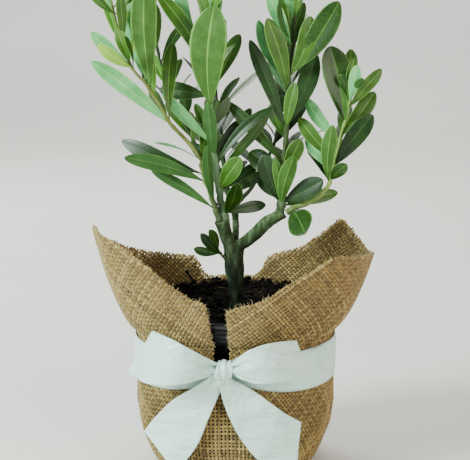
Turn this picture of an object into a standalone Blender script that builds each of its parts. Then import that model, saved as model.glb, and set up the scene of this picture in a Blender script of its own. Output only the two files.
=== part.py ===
"""Young olive tree in a nursery pot, wrapped in hessian and tied with a ribbon bow.

Metres, +Z up. X runs to the right of the front view and Y runs away from it. The origin is the
centre of the flat underside of the hessian. Every size below is in millimetres and is scaled by MM.
"""

import math
import random

import bmesh
import bpy
import numpy as np
from mathutils import Vector
from mathutils.bvhtree import BVHTree

MM = 0.001
GAP = 0.35  # clear space kept between neighbouring pieces

# Pot, rolled and tapered, with a deep lip
POT_FOOT_R, POT_WALL_R, POT_LIP_R = 38.0, 49.2, 51.6
POT_FOOT_Z, POT_LIP_Z, POT_TOP_Z = 1.7, 77.0, 88.0
POT_WALL = 1.2
SOIL_TOP_Z = 83.6

# Hessian wrap
CLOTH = 1.2
CLOTH_FOOT_R = 39.5
CLOTH_TIE_R, CLOTH_TIE_Z = 53.2, 76.0
CLOTH_BULGE = [(39.5, 0.0), (43.6, 3.2), (47.0, 9.5), (51.4, 21.0), (53.3, 34.0), (52.9, 52.0), (53.2, 76.0)]
# Top edge of the cloth: bearing in degrees, radius, height
CLOTH_EDGE = [(-94.5, 57.0, 95.7), (-77.7, 58.0, 100.3), (-58.7, 62.0, 111.1), (-42.7, 68.0, 120.8),
              (-18.1, 73.5, 117.0), (9.4, 74.0, 112.5), (20.3, 72.0, 119.6), (31.0, 70.0, 127.8),
              (39.4, 66.0, 118.2), (53.0, 62.0, 107.5), (70.5, 58.0, 102.3), (76.0, 55.0, 90.5),
              (108.0, 55.0, 90.5), (113.5, 57.0, 102.4), (125.0, 60.0, 104.1), (139.0, 64.0, 106.6),
              (149.5, 71.0, 110.5), (168.0, 76.5, 121.0), (190.0, 75.5, 131.0), (221.5, 73.0, 125.3),
              (230.2, 66.0, 115.7), (240.2, 60.0, 105.8), (247.3, 58.0, 101.0), (254.9, 57.0, 99.4)]
SLIT_FOOT = (-93.0, 258.5)  # bearings of the slit's two sides at the ribbon
CLOTH_COLUMNS, CLOTH_ROWS = 54, 5

# Ribbon
RIBBON, RIBBON_WIDTH = 0.8, 25.0
BAND_R, BAND_MID_Z, BAND_RISE = 54.2, 62.5, 1.6
KNOT_AT, KNOT_HALF = (-6.2, -58.95, 66.7), (4.7, 3.7, 4.9)

# Leaf proportions, shared by every leaf
LEAF_THICK = 0.019  # of its length
STALK_R = 0.38  # half the thickness of a leaf's stalk
LEAF_FOLD = 0.16  # how far the midrib sits below the margins, of the half width
LEAF_STATIONS = [(0.14, 0.36), (0.36, 0.86), (0.64, 1.00), (0.87, 0.66)]  # (along, share of half width)
SHORT_STATIONS = [(0.17, 0.44), (0.50, 1.00), (0.84, 0.72)]  # for leaves up to 47 mm
TINY_STATIONS = [(0.30, 0.85), (0.70, 0.95)]  # for leaves up to 26 mm


# ---------------------------------------------------------------- scene and materials

for old in list(bpy.data.objects):
    bpy.data.objects.remove(old, do_unlink=True)

scene = bpy.context.scene
whole = bpy.data.collections.new("olive_tree")
scene.collection.children.link(whole)


def material(name, colour, roughness, metallic=0.0):
    made = bpy.data.materials.new(name)
    made.use_nodes = True
    shader = made.node_tree.nodes["Principled BSDF"]
    shader.inputs["Base Color"].default_value = (*colour, 1.0)
    shader.inputs["Roughness"].default_value = roughness
    shader.inputs["Metallic"].default_value = metallic
    return made


POT_PLASTIC = material("pot_plastic", (0.012, 0.012, 0.013), 0.3)
COMPOST = material("compost", (0.016, 0.012, 0.009), 0.95)
JUTE = material("jute_hessian", (0.40, 0.28, 0.13), 0.95)
SATIN = material("satin_ribbon", (0.80, 0.84, 0.82), 0.35)
BARK = material("olive_bark", (0.11, 0.11, 0.07), 0.9)
YOUNG = {"left_shoot": (0.16, 0.28, 0.12), "centre_shoot": (0.13, 0.24, 0.09),
         "right_leader": (0.10, 0.20, 0.06), "side_shoot": (0.09, 0.17, 0.06),
         "back_left_shoot": (0.08, 0.15, 0.06), "back_shoot": (0.08, 0.16, 0.05),
         "back_right_shoot": (0.07, 0.14, 0.05), "low_sprig": (0.06, 0.12, 0.04)}


def make(name, points, faces, paint, collection=whole):
    """Object from points in millimetres."""
    data = bpy.data.meshes.new(name)
    data.from_pydata([tuple(c * MM for c in p) for p in points], [], faces)
    data.update()
    made = bpy.data.objects.new(name, data)
    collection.objects.link(made)
    if paint:
        data.materials.append(paint)
    return made


def outward(made):
    """Turns every face to point out of the solid."""
    shell = bmesh.new()
    shell.from_mesh(made.data)
    bmesh.ops.recalc_face_normals(shell, faces=shell.faces)
    shell.to_mesh(made.data)
    shell.free()
    return made


def lerp(table, x):
    xs = [row[0] for row in table]
    return [float(np.interp(x, xs, [row[k] for row in table])) for k in range(1, len(table[0]))]


def rings(section_list, closed_ends=True, wrap_along=False):
    """Quads between successive rings of equal count. Returns points and faces."""
    points, faces, n = [], [], len(section_list[0])
    for section in section_list:
        points += [tuple(p) for p in section]
    spans = len(section_list) if wrap_along else len(section_list) - 1
    for i in range(spans):
        low, high = i * n, ((i + 1) % len(section_list)) * n
        for k in range(n):
            faces.append((low + k, low + (k + 1) % n, high + (k + 1) % n, high + k))
    if closed_ends and not wrap_along:
        faces.append(tuple(range(n))[::-1])
        faces.append(tuple((len(section_list) - 1) * n + k for k in range(n)))
    return points, faces


def turned(profile, count=40):
    """Rings about Z from (radius, height) pairs."""
    return [[(r * math.cos(2 * math.pi * k / count), r * math.sin(2 * math.pi * k / count), z)
             for k in range(count)] for r, z in profile]


def lathe(name, profile, paint, count=40):
    """Solid of revolution: the profile runs from the axis up the inside and down the outside."""
    made = make(name, [(r, 0.0, z) for r, z in profile], [], paint)
    outline = bmesh.new()
    outline.from_mesh(made.data)
    outline.verts.ensure_lookup_table()
    for a, b in zip(outline.verts[:-1], outline.verts[1:]):
        outline.edges.new((a, b))
    outline.to_mesh(made.data)
    outline.free()
    spin = made.modifiers.new("spin", "SCREW")
    spin.steps = spin.render_steps = count
    spin.use_merge_vertices = True
    spin.merge_threshold = 0.00005
    return made


# ---------------------------------------------------------------- pot and soil

t = POT_WALL
lathe("pot", [(0.0, POT_FOOT_Z + 1.4), (POT_FOOT_R - t, POT_FOOT_Z + 1.4), (POT_WALL_R - t, POT_LIP_Z - 1.8),
              (POT_LIP_R - 1.9, POT_LIP_Z - 0.6), (POT_LIP_R - 1.6, POT_TOP_Z - 0.6),
              (POT_LIP_R - 0.9, POT_TOP_Z), (POT_LIP_R - 0.2, POT_TOP_Z - 0.5),
              (POT_LIP_R, POT_LIP_Z + 3.8), (POT_LIP_R - 0.6, POT_LIP_Z + 3.2),
              (POT_LIP_R - 0.5, POT_LIP_Z), (POT_WALL_R, POT_LIP_Z - 1.2),
              (POT_FOOT_R, POT_FOOT_Z + 1.0), (POT_FOOT_R - 1.0, POT_FOOT_Z), (0.0, POT_FOOT_Z)],
      POT_PLASTIC)

rng = random.Random(11)
count = 40
soil_profile = [(POT_FOOT_R - t - GAP - 0.3, POT_FOOT_Z + 1.4 + GAP),
                (POT_WALL_R - t - GAP - 0.2, POT_LIP_Z - 2.2),
                (POT_WALL_R - t - GAP - 0.2, SOIL_TOP_Z - 1.6)]
soil_rings = turned(soil_profile, count)
for radius in (42.0, 33.0, 23.0, 13.0):
    soil_rings.append([(radius * math.cos(2 * math.pi * k / count),
                        radius * math.sin(2 * math.pi * k / count),
                        SOIL_TOP_Z + rng.uniform(-1.5, 0.9)) for k in range(count)])
soil_rings.append([(6.0 * math.cos(2 * math.pi * k / count), 6.0 * math.sin(2 * math.pi * k / count),
                    SOIL_TOP_Z) for k in range(count)])
outward(make("soil", *rings(soil_rings), COMPOST))


# ---------------------------------------------------------------- hessian wrap

def cloth_point(bearing, radius, height, ripple):
    """A point of the cloth, with its soft upright folds."""
    a = math.radians(bearing)
    radius += ripple * (0.55 * math.sin(9 * a + 0.6) + 0.45 * math.sin(14 * a + 2.1))
    return (radius * math.cos(a), radius * math.sin(a), height)


def edge_bearings(count):
    """Bearings along the top edge, closer together where the edge turns sharply."""
    knots = [CLOTH_EDGE[0][0]]
    for a, b in zip(CLOTH_EDGE, CLOTH_EDGE[1:]):
        steps = max(1, round((b[0] - a[0]) / (360 / count)))
        knots += [a[0] + (b[0] - a[0]) * (k + 1) / steps for k in range(steps)]
    return knots


tops = edge_bearings(CLOTH_COLUMNS)
first, last = CLOTH_EDGE[0][0], CLOTH_EDGE[-1][0]
feet = [SLIT_FOOT[0] + (b - first) / (last - first) * (SLIT_FOOT[1] - SLIT_FOOT[0]) for b in tops]
columns = len(tops)
cloth_rows = []
for radius, height in CLOTH_BULGE:
    ripple = 0.9 * min(1.0, height / 20.0) * (1.0 if height < 45 else 0.35)
    cloth_rows.append([cloth_point(b, radius, height, ripple) for b in feet])
for row in range(1, CLOTH_ROWS + 1):
    up = row / CLOTH_ROWS
    line = []
    for foot, top in zip(feet, tops):
        edge_r, edge_z = lerp(CLOTH_EDGE, top)
        height = CLOTH_TIE_Z + up * (edge_z - CLOTH_TIE_Z)
        radius = CLOTH_TIE_R + (edge_r - CLOTH_TIE_R) * up ** 0.55
        line.append(cloth_point(foot + (top - foot) * up, radius, height, 0.35 * (1 - up) + 0.5 * up))
    cloth_rows.append(line)

points = [p for row in cloth_rows for p in row] + [(0.0, 0.0, 0.0)]
faces = []
for i in range(len(cloth_rows) - 1):
    above_tie = i >= len(CLOTH_BULGE) - 1
    for k in range(columns):
        if k == columns - 1 and above_tie:
            continue  # the open slit at the front
        n = (k + 1) % columns
        faces.append((i * columns + k, i * columns + n, (i + 1) * columns + n, (i + 1) * columns + k))
centre = len(points) - 1
faces += [(centre, (k + 1) % columns, k) for k in range(columns)]
cloth = make("hessian_wrap", points, faces, JUTE)
thicken = cloth.modifiers.new("thickness", "SOLIDIFY")
thicken.thickness = CLOTH * MM
thicken.offset = -1.0
thicken.use_even_offset = True
thicken.use_quality_normals = True


# ---------------------------------------------------------------- ribbon and bow

def strip(name, path, widths, across, closed=False):
    """Ribbon of the given widths along a path; across holds the direction of its width."""
    n = len(path)
    sections = []
    for i, p in enumerate(path):
        ahead = Vector(path[(i + 1) % n] if closed else path[min(i + 1, n - 1)])
        behind = Vector(path[(i - 1) % n] if closed else path[max(i - 1, 0)])
        along = (ahead - behind).normalized()
        wide = Vector(across[i])
        if not closed:  # a loop keeps its lean round the fold
            wide -= wide.dot(along) * along
        wide = wide.normalized() * widths[i] / 2
        deep = along.cross(wide).normalized() * RIBBON / 2
        c = Vector(p)
        sections.append([c - wide - deep, c + wide - deep, c + wide + deep, c - wide + deep])
    return outward(make(name, *rings(sections, wrap_along=closed), SATIN))


def smooth_path(points, steps, closed=False):
    """Catmull-Rom curve through the points."""
    pts = [Vector(p) for p in points]
    n, out = len(pts), []
    for i in range(n if closed else n - 1):
        at = [(i + k) % n if closed else min(max(i + k, 0), n - 1) for k in (-1, 0, 1, 2)]
        p0, p1, p2, p3 = (pts[j] for j in at)
        for s in range(steps):
            u = s / steps
            out.append(0.5 * ((2 * p1) + (p2 - p0) * u + (2 * p0 - 5 * p1 + 4 * p2 - p3) * u * u
                              + (3 * p1 - p0 - 3 * p2 + p3) * u ** 3))
    if not closed:
        out.append(pts[-1])
    return out


band = []
for k in range(44):
    a = 2 * math.pi * k / 44
    mid = BAND_MID_Z + BAND_RISE * max(0.0, -math.sin(a)) ** 3
    half = RIBBON_WIDTH / 2 - 4.6 * max(0.0, math.cos(a + math.radians(96))) ** 12
    ring = [(BAND_R - 0.3, mid - half), (BAND_R + RIBBON - 0.3, mid - half),
            (BAND_R + RIBBON, mid + half), (BAND_R, mid + half)]
    band.append([(r * math.cos(a), r * math.sin(a), z) for r, z in ring])
outward(make("ribbon_band", *rings(band, wrap_along=True), SATIN))

knot_cage = bmesh.new()
bmesh.ops.create_cube(knot_cage, size=2.0)
bmesh.ops.subdivide_edges(knot_cage, edges=knot_cage.edges, cuts=2, use_grid_fill=True)
for vert in knot_cage.verts:
    vert.co = Vector([(at + share * half) * MM for at, share, half in zip(KNOT_AT, vert.co, KNOT_HALF)])
knot_mesh = bpy.data.meshes.new("bow_knot")
knot_cage.to_mesh(knot_mesh)
knot_cage.free()
knot_mesh.materials.append(SATIN)
knot = bpy.data.objects.new("bow_knot", knot_mesh)
whole.objects.link(knot)
rounded = knot.modifiers.new("rounded", "SUBSURF")
rounded.levels = rounded.render_levels = 1


def bow_loop(name, out, back, spread):
    """Closed loop of ribbon from the knot and back to it, gathered narrow at the knot."""
    path = smooth_path(out + back, 3, closed=True)
    n = len(path)
    widths, across = [], []
    for i in range(n):
        far = 0.5 - 0.5 * math.cos(2 * math.pi * i / n)
        widths.append(9.0 + (RIBBON_WIDTH - 9.0) * min(1.0, 1.25 * far) ** 1.15)
        across.append((spread[0] * far, spread[1] * far, 1.0))
    return strip(name, path, widths, across, closed=True)


bow_loop("bow_loop_left", [(-12.75, -60.6, 67.2), (-20.0, -66.5, 68.6), (-32.0, -65.0, 70.2),
                           (-41.5, -57.8, 71.6)],
         [(-48.3, -48.2, 72.3), (-44.0, -46.4, 72.3), (-35.0, -51.8, 71.0), (-24.0, -57.0, 69.0),
          (-12.75, -58.4, 67.0)], (0.74, -0.40))
bow_loop("bow_loop_right", [(0.7, -58.4, 67.0), (9.0, -58.8, 67.6), (19.0, -57.2, 68.0),
                            (28.0, -54.0, 68.4)],
         [(34.0, -50.8, 68.4), (34.6, -55.0, 68.4), (25.5, -62.0, 68.2), (12.5, -65.5, 68.0),
          (0.7, -60.6, 67.2)], (-0.46, -0.52))
TAIL_WIDTHS = [6.0, 8.5, 14.0, 19.5, 23.5, RIBBON_WIDTH, RIBBON_WIDTH, RIBBON_WIDTH, RIBBON_WIDTH]
strip("bow_tail_left", smooth_path([(-9.7, -59.6, 60.7), (-12.2, -59.3, 54.5), (-19.5, -57.2, 44.0),
                                    (-27.5, -52.1, 32.5), (-33.5, -46.2, 19.0)], 2), TAIL_WIDTHS,
      [(1.0 - 0.03 * k, -0.04 * k, 0.11 * min(4, k)) for k in range(9)])
strip("bow_tail_right", smooth_path([(-2.7, -58.0, 60.7), (0.0, -58.4, 54.5), (8.5, -58.4, 42.5),
                                     (19.5, -54.8, 32.0), (31.0, -48.6, 24.5)], 2), TAIL_WIDTHS,
      [(1.0 - 0.07 * k, 0.04 * k, 0.15 * min(6, k)) for k in range(9)])


# ---------------------------------------------------------------- trunk and boughs

def limb_rings(path, radii, sides, flat_start=True):
    """Rings of a round tapering limb, carried along the path without twisting."""
    sections, side = [], None
    for i, p in enumerate(path):
        ahead, behind = path[min(i + 1, len(path) - 1)], path[max(i - 1, 0)]
        along = (Vector(ahead) - Vector(behind)).normalized()
        if i == 0 and flat_start:
            along = Vector((0.0, 0.0, 1.0))
        if side is None:
            side = Vector((1.0, 0.0, 0.0))
        side = (side - side.dot(along) * along).normalized()
        other = along.cross(side)
        sections.append([Vector(p) + radii[i] * (math.cos(2 * math.pi * k / sides) * side
                                                 + math.sin(2 * math.pi * k / sides) * other)
                         for k in range(sides)])
    return sections


def spaced(values, count):
    """The values drawn out to this many, evenly."""
    return [float(v) for v in np.interp(np.linspace(0, 1, count), np.linspace(0, 1, len(values)), values)]


def limb(name, knots, radii, sides, steps=2):
    path = smooth_path(knots, steps)
    sections = limb_rings(path, spaced(radii, len(path)), sides)
    level = path[-1][2]  # a flat, level end where the next growth starts
    sections[-1] = [Vector((p[0], p[1], level)) for p in sections[-1]]
    return outward(make(name, *rings(sections), BARK))


LIMBS = {
    "trunk": ([(1.0, 0.0, 84.0), (0.8, 0.0, 88.5), (0.3, 0.0, 97.0), (-0.2, 0.0, 105.0),
               (-0.6, 0.2, 112.5), (-0.4, 0.4, 118.4)], [4.1, 3.2, 3.6, 4.8, 4.7, 5.4], 12),
    "left_bough": ([(-2.9, -1.0, 119.0), (-4.2, -1.5, 122.5), (-5.8, -2.3, 128.0), (-7.0, -3.0, 132.6)],
                   [2.6, 2.8, 2.9, 3.3], 8),
    "right_bough": ([(2.7, -1.3, 119.0), (6.0, -2.4, 121.2), (11.2, -4.0, 125.8), (16.5, -5.4, 131.6),
                     (22.0, -6.8, 135.2), (25.0, -7.2, 137.6)], [2.5, 2.6, 2.8, 2.8, 2.3, 2.9], 8),
    "back_bough": ([(0.0, 3.6, 119.0), (0.4, 7.0, 124.5), (0.2, 11.5, 132.0), (-0.4, 15.2, 138.4)],
                   [1.8, 1.7, 1.6, 2.1], 8),
}
for name, (knots, radii, sides) in LIMBS.items():
    limb(name, knots, radii, sides)


# ---------------------------------------------------------------- shoots and leaves

# Every shoot: knots of its stem, its radius at foot and tip, and its leaves. A leaf is
# (height of its foot on the stem, bearing, rise, length, width, which face looks to the front).
UP, UNDER, SIDEWAYS = 1, -1, 2
SHOOTS = {
    "centre_shoot": dict(
        knots=[(-5.4, -2.3, 133.4), (-7.0, -2.0, 140), (-8.3, -2.1, 148), (-10.9, -2.9, 166),
               (-12.5, -4.0, 191), (-13.0, -3.1, 216), (-12.2, -1.8, 243), (-11.3, 0.0, 268)],
        radii=(1.8, 0.5),
        leaves=[(135.5, 293, 48, 26, 9, UP), (137.0, 16, 9, 24, 6.5, UP), (149.8, 308, 45, 26, 10, UP),
                (148.7, 21, 33, 28, 6.5, UP), (163.0, 230, 80, 34, 7.5, UNDER),
                (162.0, 350, 47, 44, 6.0, UP), (166.0, 35, 50, 26, 6.0, UP), (158.0, 356, 49, 42, 5.5, UP),
                (173.8, 189, 47, 38, 6.5, UNDER), (176.4, 162, 62, 21, 5.5, UP),
                (181.7, 20, 60, 19, 5.5, UP), (191.7, 278, 75, 56, 20, UP), (198.9, 160, 6, 29, 9.5, UP),
                (206.7, 184, 59, 54, 8.5, UP), (214.4, 154, 69, 50, 7.5, UNDER),
                (227.3, 203, 74, 31, 6.0, UP), (240.1, 334, 68, 24, 6.5, UP)],
        pairs=(247, 268, 5, 24, 5.5), fill=(146, 238, 9, 34, 7.5, 90)),
    "left_shoot": dict(
        knots=[(-8.7, -4.0, 133.4), (-10.6, -4.9, 140), (-13.5, -6.2, 149), (-17.3, -8.2, 161),
               (-18.6, -9.0, 168), (-33.2, -13.2, 185), (-43.0, -16.0, 202), (-53.3, -18.0, 215.5),
               (-59.5, -18.8, 234), (-62.8, -19.0, 252)],
        radii=(1.5, 0.45),
        leaves=[(139.2, 173, 31, 40, 6, UNDER), (141.5, 251, 72, 35, 6, UNDER),
                (154.2, 188, 18, 45, 8.5, UNDER),
                (158.5, 170, 21, 48, 8.5, UP), (183.6, 184, 39, 54, 9, UNDER),
                (186.8, 87, 64, 44, 8, UP), (201.9, 248, 84, 57, 13.5, UNDER), (203.6, 142, 71, 58, 9, UNDER),
                (214.8, 164, 38, 28, 7, UNDER), (214.0, 200, 34, 22, 6.5, UP), (216.2, 223, 66, 20, 6.5, UP),
                (224.8, 162, 71, 30, 5.5, UP), (226.0, 268, 74, 28, 5.5, UP), (234.0, 20, 62, 24, 5.5, UP)],
        pairs=(240, 252, 4, 21, 5.0), fill=(150, 232, 8, 32, 7.0, 90)),
    "right_leader": dict(
        knots=[(23.7, -6.6, 138.4), (25.2, -6.0, 146), (26.2, -4.3, 160), (26.8, -2.0, 180),
               (28.2, 0.0, 208), (30.8, 2.0, 234), (33.0, 4.0, 258)],
        radii=(1.5, 0.5),
        leaves=[(141.0, 293, 62, 33, 8.5, UNDER), (141.6, 250, 68, 29, 5.5, UNDER), (142.4, 201, 68, 29, 10, UP),
                (143.0, 332, 31, 27, 11, UP),
                (141.5, 20, 10, 33, 7.5, UP), (144.5, 120, 30, 30, 8.0, UP),
                (159.1, 321, 61, 21, 9, UP), (155.0, 144, 32, 26, 11, UP), (163.3, 169, 46, 45, 7, UP),
                (180.0, 189, 68, 52, 8, UP), (181.5, 307, 74, 26, 7, UP), (183.0, 24, 66, 42, 10.5, UNDER),
                (200.3, 209, 72, 41, 10, UP), (206.0, 162, 62, 36, 7, UNDER), (208.6, 333, 69, 34, 10, UP),
                (210.0, 340, 55, 46, 13.5, UP), (224.6, 193, 64, 30, 7.5, UNDER), (226.5, 150, 70, 30, 6.5, UP),
                (238.0, 148, 76, 24, 6, UNDER), (239.0, 328, 74, 22, 6, UP)],
        pairs=(246, 258, 4, 22, 5.5), fill=(150, 240, 9, 34, 7.5, 90)),
    "side_shoot": dict(
        knots=[(28.3, -8.5, 138.4), (31.5, -8.8, 140.5), (37.5, -8.6, 142.5), (45.0, -7.2, 146.8),
               (50.0, -6.2, 154), (52.2, -5.2, 164), (56.5, -4.0, 181), (59.5, -3.0, 194), (61.6, -2.2, 203)],
        radii=(1.4, 0.5),
        leaves=[(139.9, 284, -20, 26, 14.5, UP), (153.5, 275, 73, 33, 8, UNDER),
                (155.0, 320, 43, 14, 7, UP), (161.9, 343, 54, 35, 10.5, UP),
                (166.1, 162, 47, 29, 8, UP), (160.0, 142, 42, 24, 8.5, UNDER), (175.5, 155, 49, 29, 7.5, UNDER),
                (183.8, 141, 77, 42, 16.5, UP), (178.0, 20, 50, 30, 9, UP), (194.2, 53, 79, 25, 6, UP),
                (195.8, 320, 76, 20, 6.5, UNDER), (192.6, 353, 50, 27, 7, UP)],
        pairs=(199, 203, 1, 18, 5.0), fill=(150, 198, 6, 30, 7.0, 90)),
    "back_shoot": dict(
        knots=[(-2.0, 15.4, 139.3), (-5.0, 20.0, 152), (-8.0, 27.0, 176), (-11.5, 31.5, 206),
               (-13.5, 33.0, 232), (-13.5, 33.5, 250)],
        radii=(1.3, 0.5), leaves=[(144.0, 338, 34, 24, 7, UP), (146.0, 120, 30, 36, 8, UP)],
        pairs=(154, 250, 7, 42, 9.0), facing=(90, 78), fill=(150, 238, 4, 32, 8.0, 270)),
    "back_left_shoot": dict(
        knots=[(-1.4, 18.4, 139.3), (-6.0, 24.0, 146), (-16.0, 31.0, 160), (-27.0, 36.0, 178),
               (-36.0, 37.5, 198), (-42.0, 38.0, 218), (-46.0, 38.0, 236)],
        radii=(1.2, 0.45), leaves=[], pairs=(150, 236, 6, 40, 8.5), facing=(118, 75),
        fill=(156, 226, 4, 32, 8.0, 282)),
    "back_right_shoot": dict(
        knots=[(1.9, 16.8, 139.3), (7.5, 22.5, 144.5), (16.0, 30.0, 156), (23.5, 36.0, 176),
               (27.5, 39.0, 200), (29.5, 40.0, 222), (30.5, 40.5, 240)],
        radii=(1.2, 0.45), leaves=[], pairs=(149, 240, 7, 40, 8.5), facing=(62, 75),
        fill=(156, 226, 4, 32, 8.0, 262)),
    "low_sprig": dict(
        knots=[(-5.75, -2.75, 112.6), (-7.6, -3.9, 114.8), (-10.0, -5.5, 117.8)],
        radii=(0.8, 0.5),
        leaves=[(114.0, 213, 44, 19, 5.5, UP), (115.5, 195, 12, 15, 5.0, UNDER), (116.8, 235, 58, 15, 5.0, UP)],
        pairs=None),
}
EYE = Vector((-0.5, -681.0, 248.0))  # where the front view is seen from
SIDE_LEAVES = 3  # of these on every tall shoot


def stem_path(knots):
    return smooth_path(knots, 2)


def on_stem(path, height):
    """Point and direction of the stem where it passes this height."""
    for a, b in zip(path, path[1:]):
        if a[2] <= height <= b[2]:
            u = (height - a[2]) / max(b[2] - a[2], 1e-6)
            return a + (b - a) * u, (b - a).normalized()
    return path[-1].copy(), (path[-1] - path[-2]).normalized()


def heading(bearing, rise):
    b, r = math.radians(bearing), math.radians(rise)
    return Vector((math.cos(b) * math.cos(r), math.sin(b) * math.cos(r), math.sin(r)))


def leaf_frame(leaf, s):
    """Centre, width direction and face direction of a leaf at share s of its length."""
    root, way, face, length, arch = leaf["root"], leaf["way"], leaf["face"], leaf["length"], leaf["arch"]
    lift = arch * length * (4 * s * (1 - s))
    centre = root + way * (s * length) + face * lift
    slope = arch * 4 * (1 - 2 * s)
    along = (way + face * slope).normalized()
    out = (face - face.dot(along) * along).normalized()
    return centre, along.cross(out), out


def leaf_mesh(leaf, extra=0.0):
    """A closed leaf: four points at every station from the stalk on, and one point at the tip."""
    points = []
    half_thick = max(LEAF_THICK * leaf["length"], 0.42) / 2 + extra
    long = leaf["length"]
    stations = [(0.0, 0.0)] + (LEAF_STATIONS if long > 47 else SHORT_STATIONS if long > 26 else TINY_STATIONS)
    for s, share in stations:
        centre, wide, out = leaf_frame(leaf, s)
        half = max(leaf["width"] / 2 * share, STALK_R) + extra
        fold = LEAF_FOLD * half if s else 0.0
        deep = half_thick if s else STALK_R + extra
        points += [centre - wide * half + out * fold, centre - out * deep,
                   centre + wide * half + out * fold, centre + out * deep]
    points.append(leaf_frame(leaf, 1.0)[0] + leaf["way"] * extra)
    faces, n = [(3, 2, 1, 0)], len(stations)
    for k in range(4):
        nxt = (k + 1) % 4
        for i in range(n - 1):
            low, high = 4 * i, 4 * i + 4
            faces += [(low + k, high + k, high + nxt), (low + k, high + nxt, low + nxt)]
        faces.append((4 * (n - 1) + k, 4 * n, 4 * (n - 1) + nxt))
    return points, faces


def tree_of(points, faces):
    return BVHTree.FromPolygons([tuple(p) for p in points], faces, all_triangles=False)


def new_leaf(path, height, bearing, rise, length, width, side, rng, nudge=0.0):
    root, along = on_stem(path, height)
    root = root - along * 0.8  # sunk into the stem
    way = heading(bearing, rise)
    if nudge:
        way = (way * length + Vector((0.0, nudge, 0.0))).normalized()
    look = {UP: EYE - root, UNDER: root - EYE, 0: Vector((0.0, 0.0, 1.0)),
            SIDEWAYS: Vector((0.95 if int(height) % 2 else -0.95, 0.0, 0.3))}[side].normalized()
    tilt = heading(rng.uniform(0, 360), rng.uniform(-30, 60)) * 0.35
    face = look + tilt
    face = (face - face.dot(way) * way).normalized()
    return dict(root=root, way=way, face=face, length=length, width=width,
                arch=rng.uniform(0.02, 0.07) * (1 if side >= 0 else -1), side=side)


def grow():
    """Every shoot's stem and leaves. A leaf that can't clear the rest is turned a little, then left out."""
    stems, grown, taken = {}, {}, []
    for name, (knots, radii, sides) in LIMBS.items():
        path = smooth_path(knots, 2)
        taken.append((name, tree_of(*rings(limb_rings(path, spaced(radii, len(path)), 8)))))
    for name, rule in SHOOTS.items():
        path = stem_path(rule["knots"])
        radii = spaced(rule["radii"], len(path))
        stems[name] = (path, radii)
        taken.append((name, tree_of(*rings(limb_rings(path, radii, 6)))))
    for seed, (name, rule) in enumerate(SHOOTS.items()):
        rng, path, kept = random.Random(40 + seed), stems[name][0], []
        wanted = [(row, True) for row in rule["leaves"]]
        if rule["pairs"]:
            low, high, pairs, length, width = rule["pairs"]
            middle, spread = rule.get("facing", (90, 180))
            for k in range(pairs):
                up = (k + 0.5) / pairs
                height = low + (high - low) * up
                size = length * (1.0 - 0.45 * up) * rng.uniform(0.85, 1.12)
                for turn in (-1, 1):
                    bearing = middle + turn * spread * rng.uniform(0.35, 1.0) * (0.45 if k % 2 else 1.0)
                    rise = 28 + 38 * up + rng.uniform(-10, 12)
                    side = 0 if "facing" in rule else rng.choice((UP, UNDER))
                    wanted.append(((height, bearing, rise, size, width * (1 - 0.3 * up), side), False))
            wanted.append(((high, 90, 84, length * 0.5, width * 0.6, UP), False))
        if "fill" in rule:
            low, high, number, length, width, middle = rule["fill"]
            for k in range(number):
                up = (k + rng.uniform(0.2, 0.8)) / number
                wanted.append(((low + (high - low) * up, middle + rng.choice((-1, 1)) * rng.uniform(4, 34),
                                26 + 34 * up + rng.uniform(-10, 10), length * rng.uniform(0.8, 1.1),
                                width * rng.uniform(0.85, 1.15), 0), False))
            more = random.Random(80 + seed)
            for k in range(SIDE_LEAVES):  # seen from the sides, and edge on from the front
                up = (k + more.uniform(0.1, 0.9)) / SIDE_LEAVES
                wanted.append(((low + (high - low) * up, middle + 180 * (k % 3 == 2) + more.uniform(-32, 32),
                                24 + 38 * up + more.uniform(-8, 8), length * more.uniform(0.65, 0.9),
                                width * more.uniform(0.8, 1.1), SIDEWAYS), False))
        for row, named in wanted:
            height, bearing, rise, length, width, side = row
            state = rng.getstate()
            for nudge in (0, 2.5, -2.5, 5, -5, 8, -8, 11, -11, 15, -15):
                rng.setstate(state)
                leaf = new_leaf(path, height, bearing, rise, length, width, side, rng, nudge)
                wide = tree_of(*leaf_mesh(leaf, GAP))
                if any(owner != name and wide.overlap(other) for owner, other in taken):
                    continue
                if any(owner == name + " leaf" and wide.overlap(other) for owner, other in taken
                       ) and abs(nudge) < 8:
                    continue
                kept.append(leaf)
                break
            else:
                continue
        for leaf in kept:
            taken.append((name, tree_of(*leaf_mesh(leaf))))
        grown[name] = kept
    return stems, grown


def joined(stem, leaves):
    """The leaves fused to their stem by one union, which is then applied."""
    group = bpy.data.collections.new(stem.name + "_leaves")
    scene.collection.children.link(group)
    group.hide_render = True
    for i, leaf in enumerate(leaves):
        outward(make(f"{stem.name}_leaf_{i}", *leaf_mesh(leaf), None, group))
    fuse = stem.modifiers.new("fuse", "BOOLEAN")
    fuse.operation, fuse.operand_type, fuse.solver = "UNION", "COLLECTION", "MANIFOLD"
    fuse.collection = group
    bpy.context.view_layer.update()
    graph = bpy.context.evaluated_depsgraph_get()
    fused = bpy.data.meshes.new_from_object(stem.evaluated_get(graph))
    stem.modifiers.clear()
    old, stem.data = stem.data, fused
    fused.name = stem.name
    bpy.data.meshes.remove(old)
    for made in list(group.objects):
        spare = made.data
        bpy.data.objects.remove(made, do_unlink=True)
        bpy.data.meshes.remove(spare)
    bpy.data.collections.remove(group)


stems, grown = grow()
for name, (path, radii) in stems.items():
    paint = material(name + "_foliage", YOUNG[name], 0.55)
    stem = outward(make(name, *rings(limb_rings(path, radii, 5)), paint))
    joined(stem, grown[name])
    print(f"{name}: {len(grown[name])} leaves, {len(stem.data.polygons)} faces")
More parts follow.
